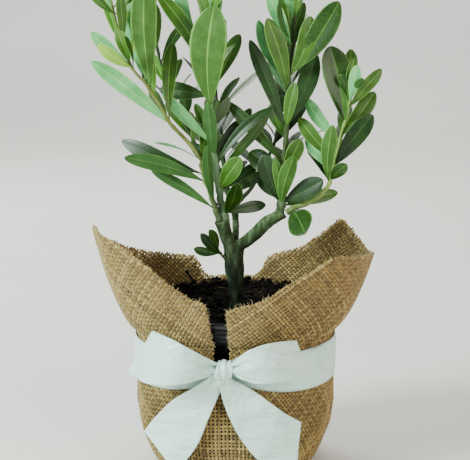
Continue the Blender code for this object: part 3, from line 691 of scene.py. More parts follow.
# The edges of every length of ribbon, from the knot to the fold and back, or to the cut end
loops = [
    satin_run("satin_loop_left",
              [(-8.4, -59.6, 70.2), (-14.8, -63.5, 74.6), (-19.6, -66.0, 78.1), (-25.9, -66.6, 81.8),
               (-31.9, -64.0, 84.1), (-37.2, -57.5, 84.8), (-40.9, -50.6, 84.4), (-40.4, -49.4, 83.6),
               (-34.6, -50.5, 80.3), (-27.5, -53.5, 77.5), (-18.4, -57.2, 73.3), (-8.4, -58.6, 69.8)],
              [(-8.4, -59.6, 64.8), (-15.3, -63.5, 63.6), (-22.2, -66.0, 62.1), (-29.0, -66.6, 61.0),
               (-36.6, -64.0, 60.3), (-45.4, -57.5, 59.7), (-53.2, -50.6, 62.6), (-52.6, -49.4, 62.4),
               (-45.9, -50.5, 58.9), (-35.7, -53.5, 58.8), (-22.5, -57.2, 61.5), (-8.4, -58.6, 64.9)],
              loop_fold(1)),
    satin_run("satin_loop_right",
              [(-3.5, -59.6, 69.3), (1.0, -63.5, 73.3), (4.9, -66.3, 77.6), (10.3, -67.2, 80.5),
               (16.7, -65.5, 82.0), (23.7, -61.0, 81.8), (29.9, -55.5, 80.8), (29.4, -54.4, 80.2),
               (23.5, -54.0, 79.6), (15.5, -55.2, 78.6), (6.5, -57.2, 75.4), (-3.5, -58.6, 69.4)],
              [(-3.5, -59.6, 66.0), (2.0, -63.5, 63.6), (6.4, -66.3, 62.6), (12.3, -67.2, 61.9),
               (19.7, -65.5, 61.9), (28.3, -61.0, 61.7), (37.0, -55.5, 62.0), (36.4, -54.4, 62.0),
               (28.1, -54.0, 60.0), (18.5, -55.2, 59.8), (7.5, -57.2, 60.6), (-3.5, -58.6, 65.4)],
              loop_fold(-1))]
tails = [
    satin_run("satin_tail_left",
              [(-10.0, -59.4, 65.2), (-15.9, -60.0, 61.3), (-22.5, -57.0, 56.5), (-28.7, -53.5, 51.5),
               (-35.0, -49.5, 45.0), (-41.4, -45.2, 36.9), (-46.9, -41.0, 28.8)],
              [(-5.5, -59.6, 65.2), (-5.7, -60.4, 59.8), (-7.5, -58.5, 54.6), (-10.5, -56.8, 47.3),
               (-14.1, -55.6, 38.5), (-19.3, -53.0, 25.0), (-30.2, -49.0, 9.1)], tail_fold(0.0)),
    satin_run("satin_tail_right",
              [(-8.6, -58.4, 65.2), (-7.7, -59.2, 58.4), (-6.0, -57.6, 50.2), (-2.5, -56.6, 40.4),
               (3.5, -55.8, 28.6), (13.7, -54.5, 16.5), (31.2, -50.0, 7.8)],
              [(-4.4, -58.6, 65.2), (-1.0, -59.2, 61.5), (4.0, -58.5, 58.5), (10.5, -57.2, 54.2),
               (18.1, -55.2, 48.1), (25.8, -52.5, 41.7), (33.6, -49.0, 36.3)], tail_fold(1.1))]

# %% Band round the pot
BAND_R, BAND_MID_Z, BAND_RISE = 54.45, 62.5, 1.6
BAND_TURNS, BAND_POINTS = 220, 15  # points round the pot and from edge to edge
band_points = []
for k in range(BAND_TURNS):
    a = 2 * math.pi * k / BAND_TURNS
    front = max(0.0, math.cos(a + math.radians(96)))
    low = BAND_MID_Z - RIBBON_WIDTH / 2 + BAND_RISE * max(0.0, -math.sin(a)) ** 3 + 5.2 * front ** 12
    high = BAND_MID_Z + RIBBON_WIDTH / 2 - 3.0 - 3.4 * front ** 8
    mid, half = (low + high) / 2, (high - low) / 2
    for c in range(BAND_POINTS):
        u = 2 * c / (BAND_POINTS - 1) - 1
        crease = 0.28 * front ** 10 * math.sin(8 * u) + 0.10 * math.sin(3 * a + 2.5 * u)
        tuck = 0.75 * max(0.0, abs(u) - 0.6) ** 2 / 0.16  # both edges hug the cloth
        radius = BAND_R - 0.12 + 0.12 * u - tuck + crease + 0.10 * math.sin(7 * a + 1.0)
        band_points.append((radius * math.cos(a), radius * math.sin(a), mid + half * u))
band_faces = []
for k in range(BAND_TURNS):
    here, ahead = BAND_POINTS * k, BAND_POINTS * ((k + 1) % BAND_TURNS)
    band_faces += [(here + c, ahead + c, ahead + c + 1, here + c + 1) for c in range(BAND_POINTS - 1)]
band = piece("satin_band", band_points, band_faces, [SATIN])
thicken(band, SATIN_THICK)

# %% Knot
KNOT_AT, KNOT_HALF = (-5.7, -59.0, 66.6), (4.5, 4.1, 5.0)
KNOT_ROWS, KNOT_COLUMNS = 41, 33
knot_points = []
for i in range(KNOT_ROWS):
    turn = 2 * math.pi * (i / (KNOT_ROWS - 1)) * 1.06 - 0.4
    for c in range(KNOT_COLUMNS):
        u = 2 * c / (KNOT_COLUMNS - 1) - 1
        swell = (1 - abs(u) ** 2.6) ** 0.5 * 0.34 + 0.66
        fold = 0.34 * math.sin(7.5 * u + 1.3 * math.sin(turn) + 0.5)
        fold += 0.14 * math.sin(15.0 * u - 1.5 * math.sin(turn))
        r_y, r_z = KNOT_HALF[1] * swell + fold, KNOT_HALF[2] * swell + fold
        lean = 0.8 * math.sin(turn) * (0.4 + u * u)
        knot_points.append((KNOT_AT[0] + u * KNOT_HALF[0] * (1 - 0.12 * math.sin(turn)) + lean,
                            KNOT_AT[1] - r_y * math.cos(turn), KNOT_AT[2] + r_z * math.sin(turn)))
knot = piece("satin_knot", knot_points, grid_faces(KNOT_ROWS, KNOT_COLUMNS), [SATIN])
thicken(knot, SATIN_THICK)

for made, node in ((band, "ribbon_band"), (knot, "bow_knot"), (loops[0], "bow_loop_left"),
                   (loops[1], "bow_loop_right"), (tails[0], "bow_tail_left"), (tails[1], "bow_tail_right")):
    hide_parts(node)
print("ribbon:", ", ".join(made.name for made in (band, knot, *loops, *tails)))

# %% [markdown]
# ## Pot and compost
# The pot shows only through the slit at the front, where its ridged lip catches the light.

# %% Pot
POT_FOOT_R, POT_WALL_R, POT_LIP_R, POT_WALL = 38.0, 49.2, 51.6, 1.2
POT_FOOT_Z, POT_LIP_Z, POT_TOP_Z, SOIL_TOP_Z = 1.7, 77.0, 88.0, 83.6
profile = [(0.5, POT_FOOT_Z + 1.4), (POT_FOOT_R - POT_WALL, POT_FOOT_Z + 1.4),
           (POT_WALL_R - POT_WALL, POT_LIP_Z - 1.8), (POT_LIP_R - 1.9, POT_LIP_Z - 0.6),
           (POT_LIP_R - 1.7, POT_TOP_Z - 1.0), (POT_LIP_R - 1.3, POT_TOP_Z - 0.2),
           (POT_LIP_R - 0.9, POT_TOP_Z), (POT_LIP_R - 0.3, POT_TOP_Z - 0.3), (POT_LIP_R, POT_TOP_Z - 1.2)]
for ridge in (POT_TOP_Z - 3.0, POT_TOP_Z - 5.2, POT_TOP_Z - 7.6):
    profile += [(POT_LIP_R - 0.55, ridge + 0.5), (POT_LIP_R - 0.5, ridge - 0.1), (POT_LIP_R, ridge - 0.7),
                (POT_LIP_R, ridge - 1.2)]
profile += [(POT_LIP_R - 0.6, POT_LIP_Z + 1.4), (POT_LIP_R - 0.5, POT_LIP_Z), (POT_WALL_R, POT_LIP_Z - 1.2),
            (POT_FOOT_R + 0.6, POT_FOOT_Z + 4.0), (POT_FOOT_R, POT_FOOT_Z + 1.0),
            (POT_FOOT_R - 1.0, POT_FOOT_Z), (0.5, POT_FOOT_Z)]
AROUND = 128
pot_points = [p for r, z in profile for p in circle(r, z, AROUND)]
pot_faces = []
for i in range(len(profile)):
    low, high = i * AROUND, ((i + 1) % len(profile)) * AROUND
    pot_faces += [(low + k, high + k, high + (k + 1) % AROUND, low + (k + 1) % AROUND) for k in range(AROUND)]
pot = piece("nursery_pot", pot_points, pot_faces, [PLASTIC])
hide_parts("pot")

# %% Compost, crumbs and fibres
SOIL_R, SOIL_AROUND = 47.6, 96
CRUMBS, CRUMB_SIZES, FIBRES = 1500, (0.5, 0.7, 0.9, 1.3, 1.8), 300
rng = random.Random(11)


def heap(x, y):
    """Extra height of the compost: it is banked up to the lip at the back and sides."""
    back = 0.5 + 0.5 * min(1.0, max(-1.0, (y + 18.0) / 22.0))
    return (1.0 + 3.6 * back) * max(0.0, (math.hypot(x, y) - 34.0) / 13.6) ** 1.6


def soil_top(x, y):
    """Height of the compost, with its lumps."""
    lump = 1.5 * noise.fractal(Vector((x * 0.11, y * 0.11, 3.0)), 0.9, 2.1, 5)
    return SOIL_TOP_Z - 0.4 + lump + heap(x, y)


soil_rows = [circle(POT_FOOT_R - 1.9, POT_FOOT_Z + 1.8, SOIL_AROUND),
             circle(POT_WALL_R - 2.0, POT_LIP_Z - 2.2, SOIL_AROUND)]
for radius in np.linspace(SOIL_R, 0.8, 34):
    soil_rows.append([(x, y, soil_top(x, y)) for x, y, _ in circle(radius, 0.0, SOIL_AROUND)])
soil_points, soil_faces = rings(soil_rows)
compost = piece("compost_bed", soil_points, soil_faces, [PEAT])
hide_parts("soil")

crumb_points, crumb_faces = [], []
for number in range(CRUMBS):
    radius, bearing = 47.0 * math.sqrt(rng.random()), rng.uniform(0, 2 * math.pi)
    if number % 3 == 0:  # a bank of crumbs along the lip
        radius, bearing = rng.uniform(44.5, 50.6), rng.uniform(math.radians(-35), math.radians(215))
    size = rng.choice(CRUMB_SIZES) * rng.uniform(0.7, 1.2)
    centre = Vector((radius * math.cos(bearing), radius * math.sin(bearing), 0.0))
    centre.z = soil_top(centre.x, centre.y) + 0.25 * size
    seed = rng.uniform(0, 90)
    shell = bmesh.new()
    bmesh.ops.create_icosphere(shell, subdivisions=1 if size < 1.2 else 2, radius=size)
    lumpy = []
    for vert in shell.verts:
        rough = 1 + 0.5 * noise.noise(vert.co.normalized() * 1.7 + Vector((seed, 0, 0)))
        lumpy.append(tuple(centre + Vector((vert.co.x, vert.co.y, 0.75 * vert.co.z)) * rough))
    gather(crumb_points, crumb_faces, lumpy, [[vert.index for vert in face.verts] for face in shell.faces])
    shell.free()
crumbs = piece("compost_crumbs", crumb_points, crumb_faces, [PEAT], smooth=False)

fibres = []
for _ in range(FIBRES):
    radius, bearing = 47.5 * math.sqrt(rng.uniform(0.15, 1.0)), rng.uniform(0, 2 * math.pi)
    start = Vector((radius * math.cos(bearing), radius * math.sin(bearing), 0.0))
    start.z = SOIL_TOP_Z + heap(start.x, start.y) + rng.uniform(0.2, 1.6)
    flat = Vector((rng.gauss(0, 1), rng.gauss(0, 1), rng.gauss(0.12, 0.22)))
    fibres.append((curl(rng, start, flat, rng.uniform(2.5, 9.0), 0.35, 6), rng.uniform(0.07, 0.2)))
# A dry twig sticks up out of the compost at the back
TWIG_R, TWIG = 0.8, [(-27.6, 34.4, 97.4), (-25.0, 30.6, 94.4), (-21.2, 25.8, 90.6), (-17.6, 21.0, 84.5)]
dry_twig = hair_piece("dry_twig", [(smooth_path(TWIG, 4), TWIG_R)], PEAT, sides=8)
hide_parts("soil")
roots = hair_piece("compost_fibres", [f for f in fibres if math.hypot(f[0][-1].x, f[0][-1].y) < 48.5
                                      and f[0][-1].z > SOIL_TOP_Z - 1.0], FIBRE, 4)
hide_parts("soil")
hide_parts("soil")
print("compost:", len(crumb_faces), "crumb faces,", len(fibres), "fibres")

# %% [markdown]
# ## Bark
# Trunk and boughs are tubes through the same knots as their solids. A voxel remesh melts the parts
# of each into one skin, and noise gives it plates, fine cracks and small bumps.

# %% Bark and leaf materials
def greening(material, where, low_mm, high_mm):
    """Goes from 0 to 1 between two heights."""
    height = add(material, "ShaderNodeSeparateXYZ", Vector=where).outputs["Z"]
    return add(material, "ShaderNodeMapRange", Value=height, From_Min=low_mm * MM,
               From_Max=high_mm * MM).outputs["Result"]


BARK, bark_shader = surface("olive_bark", 0.9, 1.45, Specular_IOR_Level=0.2)
where = place(BARK)
plates = mottle(BARK, where, 330.0, 6.0, 0.65, (1.0, 1.0, 0.35))
# Below 104 mm the trunk takes the darker old bark: partly the grey of old bark, partly painted shade under
# the crown and by the compost.
old_bark_and_shade = ramp(BARK, plates, [(0.3, "#090c07"), (0.5, "#1c2417"), (0.66, "#35422f"), (0.82, "#65755c")])
new_bark = ramp(BARK, plates, [(0.3, "#1c2614"), (0.5, "#394a2c"), (0.66, "#597050"), (0.82, "#86a07c")])
link(BARK, mixed(BARK, greening(BARK, where, 104.0, 134.0), old_bark_and_shade, new_bark), bark_shader, "Base Color")
cracks = mottle(BARK, where, 1400.0, 5.0, 0.7, (1.0, 1.0, 0.3))
link(BARK, bump(BARK, cracks, 0.7, 0.35), bark_shader, "Normal")


def stem_material(name, low, high):
    """Green stem, like the young bark at its foot."""
    made, shader = surface(name, 0.6, 1.45, Specular_IOR_Level=0.3)
    spot = place(made)
    tone = mottle(made, spot, 240.0, 4.0, 0.6, (1.0, 1.0, 0.3))
    foot = ramp(made, tone, [(0.3, "#2b3a20"), (0.7, "#5b7150")])
    green = ramp(made, tone, [(0.3, low), (0.7, high)])
    link(made, mixed(made, greening(made, spot, 134.0, 152.0), foot, green), shader, "Base Color")
    link(made, bump(made, mottle(made, spot, 1900.0, 3.0), 0.35, 0.12), shader, "Normal")
    return made


STEMS = {"pale": stem_material("green_stem_pale", "#46633f", "#7b9c76"),
         "olive": stem_material("green_stem_olive", "#46521f", "#74803f"),
         "leader": stem_material("green_stem_leader", "#1f2d10", "#42562a"),
         "bright": stem_material("green_stem_bright", "#6b8a38", "#93ad58"),
         "dark": stem_material("green_stem_dark", "#18220f", "#37492a")}


def leaf_skin(name, low, high, roughness, shine=0.5, glint_tone=None):
    """Leaf colour with a faint cloudy variation, fine raised cells and, on old leaves, pale flecks that are
    painted glints of their gloss.
    """
    made, shader = surface(name, roughness, 1.45, Specular_IOR_Level=shine)
    spot = place(made)
    tone = ramp(made, mottle(made, spot, 150.0, 4.0, 0.6), [(0.32, low), (0.68, high)])
    if glint_tone:
        # Pale flecks: painted glints on the glossy dark uppers.
        glint_mask = ramp(made, mottle(made, spot, 1050.0, 3.0, 0.7), [(0.54, "#000000"), (0.66, "#ffffff")])
        glint_colour = ramp(made, mottle(made, spot, 90.0), [(0.4, high), (0.7, glint_tone)])
        tone = mixed(made, glint_mask, tone, glint_colour)
    link(made, tone, shader, "Base Color")
    link(made, bump(made, mottle(made, spot, 1500.0, 3.0), 0.25, 0.10), shader, "Normal")
    return made


# The last colour of the deep and dark uppers is for their painted glints.
UPPER = {"deep": leaf_skin("leaf_upper_deep", "#0a2105", "#163209", 0.4, 0.4, "#365a1c"),
         "dark": leaf_skin("leaf_upper_dark", "#153206", "#25440a", 0.4, 0.4, "#486b25"),
         "mid": leaf_skin("leaf_upper_mid", "#294c0a", "#3f6514", 0.42, 0.4),
         "fresh": leaf_skin("leaf_upper_fresh", "#467b21", "#5c9031", 0.42, 0.4),
         "young": leaf_skin("leaf_upper_young", "#76a52c", "#93bd48", 0.45, 0.4)}
UNDER_SKIN = {"deep": leaf_skin("leaf_under_deep", "#1b3614", "#294a1f", 0.62, 0.25),
              "dark": leaf_skin("leaf_under_dark", "#26481b", "#375d28", 0.62, 0.25),
              "mid": leaf_skin("leaf_under_sage", "#32551c", "#456b2b", 0.62, 0.25),
              "fresh": leaf_skin("leaf_under_mint", "#4c9553", "#6ab072", 0.62, 0.25),
              "young": leaf_skin("leaf_under_young", "#84b860", "#9ccb78", 0.62, 0.25)}
RIB = {"deep": leaf_skin("leaf_rib_deep", "#264216", "#365523", 0.5, 0.3),
       "dark": leaf_skin("leaf_rib_dark", "#3d6224", "#4e7531", 0.5, 0.3),
       "mid": leaf_skin("leaf_rib_mid", "#5a8636", "#6e9a47", 0.5, 0.3),
       "fresh": leaf_skin("leaf_rib_fresh", "#82b35a", "#96c26f", 0.5, 0.3),
       "young": leaf_skin("leaf_rib_young", "#9dc25a", "#b0d073", 0.5, 0.3)}
TONES = ["deep", "dark", "mid", "fresh", "young"]
LEAF_SLOTS = [UPPER[t] for t in TONES] + [UNDER_SKIN[t] for t in TONES] + [RIB[t] for t in TONES]

# %% Trunk and boughs
LIMBS = {
    "trunk": ([(1.0, 0.0, 84.0), (0.8, 0.0, 88.5), (0.3, 0.0, 97.0), (-0.2, 0.0, 105.0),
               (-0.6, 0.2, 112.5), (-0.4, 0.4, 118.4)], [4.1, 3.2, 3.6, 4.8, 4.7, 5.4]),
    "left_bough": ([(-2.9, -1.0, 119.0), (-4.2, -1.5, 122.5), (-5.8, -2.3, 128.0), (-7.0, -3.0, 132.6)],
                   [2.6, 2.8, 2.9, 3.3]),
    "right_bough": ([(2.7, -1.3, 119.0), (6.0, -2.4, 121.2), (11.2, -4.0, 125.8), (16.5, -5.4, 131.6),
                     (22.0, -6.8, 135.2), (25.0, -7.2, 137.6)], [2.5, 2.6, 2.8, 2.8, 2.3, 2.9]),
    "back_bough": ([(0.0, 3.6, 119.0), (0.4, 7.0, 124.5), (0.2, 11.5, 132.0), (-0.4, 15.2, 138.4)],
                   [1.8, 1.7, 1.6, 2.1]),
}


BARK_CELL = 0.33  # of the remesh, in mm
# Makes up for what the remesh takes off
BARK_SWELL = {"trunk": 1.1, "left_bough": 1.25, "right_bough": 1.25, "back_bough": 1.1}


def limb_rings(path, radii, sides):
    """Rings of a round limb, carried along the path without twisting."""
    sections, side = [], Vector((1.0, 0.0, 0.0))
    for i, p in enumerate(path):
        ahead, behind = path[min(i + 1, len(path) - 1)], path[max(i - 1, 0)]
        along = (Vector(ahead) - Vector(behind)).normalized()
        side = (side - side.dot(along) * along).normalized()
        other = along.cross(side)
        sections.append([Vector(p) + radii[i] * (math.cos(2 * math.pi * k / sides) * side
                                                 + math.sin(2 * math.pi * k / sides) * other)
                         for k in range(sides)])
    return sections


def bark_skin(name, tubes, node):
    """Tubes melted into one skin with the relief of bark."""
    points, faces = [], []
    for path, radii in tubes:
        gather(points, faces, *rings(limb_rings(path, radii, 16)))
    made = piece(name, points, faces, [BARK])
    melt = made.modifiers.new("melt", "REMESH")
    melt.mode, melt.voxel_size = "VOXEL", BARK_CELL * MM
    ease = made.modifiers.new("ease", "SMOOTH")
    ease.iterations = 4
    graph = bpy.context.evaluated_depsgraph_get()
    skin = bpy.data.meshes.new_from_object(made.evaluated_get(graph))
    made.modifiers.clear()
    made.data = skin
    co = np.empty(len(skin.vertices) * 3)
    no = np.empty(len(skin.vertices) * 3)
    skin.vertices.foreach_get("co", co)
    skin.vertices.foreach_get("normal", no)
    co, no = co.reshape(-1, 3) / MM, no.reshape(-1, 3)
    lift = np.empty(len(co))
    for i, (x, y, z) in enumerate(co):
        spot = Vector((x * 0.55, y * 0.55, z * 0.16))
        plate = noise.fractal(spot, 0.8, 2.2, 4)
        groove = -abs(noise.noise(Vector((x * 0.8, y * 0.8, z * 0.22)) + Vector((9, 0, 0))))
        bump_up = max(0.0, noise.noise(Vector((x * 1.3, y * 1.3, z * 0.9)) + Vector((0, 7, 0))) - 0.25)
        lift[i] = 0.16 * plate + 0.26 * (groove + 0.25) + 0.5 * bump_up
    skin.vertices.foreach_set("co", ((co + no * lift[:, None]) * MM).ravel())
    skin.polygons.foreach_set("use_smooth", np.ones(len(skin.polygons), dtype=bool))
    skin.update()
    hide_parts(node)
    print(f"{name}: {len(skin.polygons)} faces")


for name, (knots, radii) in LIMBS.items():
    path = smooth_path(knots, 6)
    fine = [BARK_SWELL[name] * r for r in spaced(radii, len(path))]
    tubes = [(path, fine)]
    if name == "trunk":
        for turn in (0.4, 2.3, 4.3):  # three roots flare into the compost
            foot = Vector((1.0 + 6.5 * math.cos(turn), 6.5 * math.sin(turn), 82.6))
            tubes.append((smooth_path([foot, (1.0 + 3.0 * math.cos(turn), 3.0 * math.sin(turn), 84.8),
                                       (0.9, 0.0, 90.0)], 5), spaced([0.9, 1.6, 2.4], 11)))
    else:  # the foot of a bough reaches down into the trunk
        knee = path[0] - (path[2] - path[0]).normalized() * 3.0
        tubes.append(([knee, path[0], path[1]], [fine[0] * 1.05, fine[0] * 1.1, fine[1]]))
    bark_skin("bark_" + name, tubes, name)

# %% [markdown]
# ## Shoots and leaves
# The rule is the one that made the solids: a stem through its knots, listed leaves where they
# really sit, pairs towards the tip, and more that fill the far side and the sides. Here every leaf
# is a thin closed body with a folded blade, a groove along the midrib, a waved margin and a short
# stalk.

# %% The growing rule
GAP = 0.35  # clear space kept between neighbouring pieces
LEAF_THICK = 0.019  # of its length
STALK_R = 0.38  # half the thickness of a leaf's stalk
LEAF_FOLD = 0.16  # how far the midrib sits below the margins, of the half width
LEAF_STATIONS = [(0.14, 0.36), (0.36, 0.86), (0.64, 1.00), (0.87, 0.66)]  # (along, share of half width)
SHORT_STATIONS = [(0.17, 0.44), (0.50, 1.00), (0.84, 0.72)]  # for leaves up to 47 mm
TINY_STATIONS = [(0.30, 0.85), (0.70, 0.95)]  # for leaves up to 26 mm
# Every shoot: knots of its stem, its radius at foot and tip, and its leaves. A leaf is
# (height of its foot on the stem, bearing, rise, length, width, how it faces). Its upper or its
# under face looks to the front, or its upper face looks to the sky or sideways.
UP, UNDER, SKYWARD, SIDEWAYS = 1, -1, 0, 2
SHOOTS = {
    "centre_shoot": dict(
        knots=[(-5.4, -2.3, 133.4), (-7.0, -2.0, 140), (-8.3, -2.1, 148), (-10.9, -2.9, 166),
               (-12.5, -4.0, 191), (-13.0, -3.1, 216), (-12.2, -1.8, 243), (-11.3, 0.0, 268)],
        radii=(1.8, 0.5),
        leaves=[(135.5, 293, 48, 26, 9, UP), (137.0, 16, 9, 24, 6.5, UP), (149.8, 308, 45, 26, 10, UP),
                (148.7, 21, 33, 28, 6.5, UP), (163.0, 230, 80, 34, 7.5, UNDER),
                (162.0, 350, 47, 44, 6.0, UP), (166.0, 35, 50, 26, 6.0, UP), (158.0, 356, 49, 42, 5.5, UP),
                (173.8, 189, 47, 38, 6.5, UNDER), (176.4, 162, 62, 21, 5.5, UP),
                (181.7, 20, 60, 19, 5.5, UP), (191.7, 278, 75, 56, 20, UP), (198.9, 160, 6, 29, 9.5, UP),
                (206.7, 184, 59, 54, 8.5, UP), (214.4, 154, 69, 50, 7.5, UNDER),
                (227.3, 203, 74, 31, 6.0, UP), (240.1, 334, 68, 24, 6.5, UP)],
        pairs=(247, 268, 5, 24, 5.5), fill=(146, 238, 9, 34, 7.5, 90)),
    "left_shoot": dict(
        knots=[(-8.7, -4.0, 133.4), (-10.6, -4.9, 140), (-13.5, -6.2, 149), (-17.3, -8.2, 161),
               (-18.6, -9.0, 168), (-33.2, -13.2, 185), (-43.0, -16.0, 202), (-53.3, -18.0, 215.5),
               (-59.5, -18.8, 234), (-62.8, -19.0, 252)],
        radii=(1.5, 0.45),
        leaves=[(139.2, 173, 31, 40, 6, UNDER), (141.5, 251, 72, 35, 6, UNDER),
                (154.2, 188, 18, 45, 8.5, UNDER),
                (158.5, 170, 21, 48, 8.5, UP), (183.6, 184, 39, 54, 9, UNDER),
                (186.8, 87, 64, 44, 8, UP), (201.9, 248, 84, 57, 13.5, UNDER), (203.6, 142, 71, 58, 9, UNDER),
                (214.8, 164, 38, 28, 7, UNDER), (214.0, 200, 34, 22, 6.5, UP), (216.2, 223, 66, 20, 6.5, UP),
                (224.8, 162, 71, 30, 5.5, UP), (226.0, 268, 74, 28, 5.5, UP), (234.0, 20, 62, 24, 5.5, UP)],
        pairs=(240, 252, 4, 21, 5.0), fill=(150, 232, 8, 32, 7.0, 90)),
    "right_leader": dict(
        knots=[(23.7, -6.6, 138.4), (25.2, -6.0, 146), (26.2, -4.3, 160), (26.8, -2.0, 180),
               (28.2, 0.0, 208), (30.8, 2.0, 234), (33.0, 4.0, 258)],
        radii=(1.5, 0.5),
        leaves=[(141.0, 293, 62, 33, 8.5, UNDER), (141.6, 250, 68, 29, 5.5, UNDER),
                (142.4, 201, 68, 29, 10, UP), (143.0, 332, 31, 27, 11, UP),
                (141.5, 20, 10, 33, 7.5, UP), (144.5, 120, 30, 30, 8.0, UP),
                (159.1, 321, 61, 21, 9, UP), (155.0, 144, 32, 26, 11, UP), (163.3, 169, 46, 45, 7, UP),
                (180.0, 189, 68, 52, 8, UP), (181.5, 307, 74, 26, 7, UP), (183.0, 24, 66, 42, 10.5, UNDER),
                (200.3, 209, 72, 41, 10, UP), (206.0, 162, 62, 36, 7, UNDER), (208.6, 333, 69, 34, 10, UP),
                (210.0, 340, 55, 46, 13.5, UP), (224.6, 193, 64, 30, 7.5, UNDER),
                (226.5, 150, 70, 30, 6.5, UP), (238.0, 148, 76, 24, 6, UNDER), (239.0, 328, 74, 22, 6, UP)],
        pairs=(246, 258, 4, 22, 5.5), fill=(150, 240, 9, 34, 7.5, 90)),
    "side_shoot": dict(
        knots=[(28.3, -8.5, 138.4), (31.5, -8.8, 140.5), (37.5, -8.6, 142.5), (45.0, -7.2, 146.8),
               (50.0, -6.2, 154), (52.2, -5.2, 164), (56.5, -4.0, 181), (59.5, -3.0, 194), (61.6, -2.2, 203)],
        radii=(1.4, 0.5),
        leaves=[(139.9, 284, -20, 26, 14.5, UP), (153.5, 275, 73, 33, 8, UNDER),
                (155.0, 320, 43, 14, 7, UP), (161.9, 343, 54, 35, 10.5, UP),
                (166.1, 162, 47, 29, 8, UP), (160.0, 142, 42, 24, 8.5, UNDER),
                (175.5, 155, 49, 29, 7.5, UNDER),
                (183.8, 141, 77, 42, 16.5, UP), (178.0, 20, 50, 30, 9, UP), (194.2, 53, 79, 25, 6, UP),
                (195.8, 320, 76, 20, 6.5, UNDER), (192.6, 353, 50, 27, 7, UP)],
        pairs=(199, 203, 1, 18, 5.0), fill=(150, 198, 6, 30, 7.0, 90)),
    "back_shoot": dict(
        knots=[(-2.0, 15.4, 139.3), (-5.0, 20.0, 152), (-8.0, 27.0, 176), (-11.5, 31.5, 206),
               (-13.5, 33.0, 232), (-13.5, 33.5, 250)],
        radii=(1.3, 0.5), leaves=[(144.0, 338, 34, 24, 7, UP), (146.0, 120, 30, 36, 8, UP)],
        pairs=(154, 250, 7, 42, 9.0), facing=(90, 78), fill=(150, 238, 4, 32, 8.0, 270)),
    "back_left_shoot": dict(
        knots=[(-1.4, 18.4, 139.3), (-6.0, 24.0, 146), (-16.0, 31.0, 160), (-27.0, 36.0, 178),
               (-36.0, 37.5, 198), (-42.0, 38.0, 218), (-46.0, 38.0, 236)],
        radii=(1.2, 0.45), leaves=[], pairs=(150, 236, 6, 40, 8.5), facing=(118, 75),
        fill=(156, 226, 4, 32, 8.0, 282)),
    "back_right_shoot": dict(
        knots=[(1.9, 16.8, 139.3), (7.5, 22.5, 144.5), (16.0, 30.0, 156), (23.5, 36.0, 176),
               (27.5, 39.0, 200), (29.5, 40.0, 222), (30.5, 40.5, 240)],
        radii=(1.2, 0.45), leaves=[], pairs=(149, 240, 7, 40, 8.5), facing=(62, 75),
        fill=(156, 226, 4, 32, 8.0, 262)),
    "low_sprig": dict(
        knots=[(-5.75, -2.75, 112.6), (-7.6, -3.9, 114.8), (-10.0, -5.5, 117.8)],
        radii=(0.8, 0.5),
        leaves=[(114.0, 213, 44, 19, 5.5, UP), (115.5, 195, 12, 15, 5.0, UNDER),
                (116.8, 235, 58, 15, 5.0, UP)],
        pairs=None),
}
EYE = Vector((-0.5, -681.0, 248.0))  # where the front view is seen from
SIDE_LEAVES = 3  # on every tall shoot
NUDGES = (0, 2.5, -2.5, 5, -5, 8, -8, 11, -11, 15, -15)  # tried in turn, in mm at the tip


def on_stem(path, height):
    """Point and direction of the stem where it passes this height."""
    for a, b in zip(path, path[1:]):
        if a[2] <= height <= b[2]:
            u = (height - a[2]) / max(b[2] - a[2], 1e-6)
            return a + (b - a) * u, (b - a).normalized()
    return path[-1].copy(), (path[-1] - path[-2]).normalized()


def heading(bearing, rise):
    """Direction from a bearing round the vertical and a rise over the level, in degrees."""
    b, r = math.radians(bearing), math.radians(rise)
    return Vector((math.cos(b) * math.cos(r), math.sin(b) * math.cos(r), math.sin(r)))


def leaf_frame(leaf, s):
    """Centre, width direction and face direction of a leaf at share s of its length."""
    root, way, face, length, arch = leaf["root"], leaf["way"], leaf["face"], leaf["length"], leaf["arch"]
    lift = arch * length * (4 * s * (1 - s))
    centre = root + way * (s * length) + face * lift
    slope = arch * 4 * (1 - 2 * s)
    along = (way + face * slope).normalized()
    out = (face - face.dot(along) * along).normalized()
    return centre, along.cross(out), out


def leaf_block(leaf, extra=0.0):
    """A closed leaf: four points at every station from the stalk on, and one point at the tip."""
    points = []
    half_thick = max(LEAF_THICK * leaf["length"], 0.42) / 2 + extra
    long = leaf["length"]
    rows = LEAF_STATIONS if long > 47 else SHORT_STATIONS if long > 26 else TINY_STATIONS
    stations = [(0.0, 0.0)] + rows
    for s, share in stations:
        centre, wide, out = leaf_frame(leaf, s)
        half = max(leaf["width"] / 2 * share, STALK_R) + extra
        fold = LEAF_FOLD * half if s else 0.0
        deep = half_thick if s else STALK_R + extra
        points += [centre - wide * half + out * fold, centre - out * deep,
                   centre + wide * half + out * fold, centre + out * deep]
    points.append(leaf_frame(leaf, 1.0)[0] + leaf["way"] * extra)
    faces, n = [(3, 2, 1, 0)], len(stations)
    for k in range(4):
        nxt = (k + 1) % 4
        for i in range(n - 1):
            low, high = 4 * i, 4 * i + 4
            faces += [(low + k, high + k, high + nxt), (low + k, high + nxt, low + nxt)]
        faces.append((4 * (n - 1) + k, 4 * n, 4 * (n - 1) + nxt))
    return points, faces


def tree_of(points, faces):
    """Search tree that tells whether two bodies meet."""
    return BVHTree.FromPolygons([tuple(p) for p in points], faces, all_triangles=False)


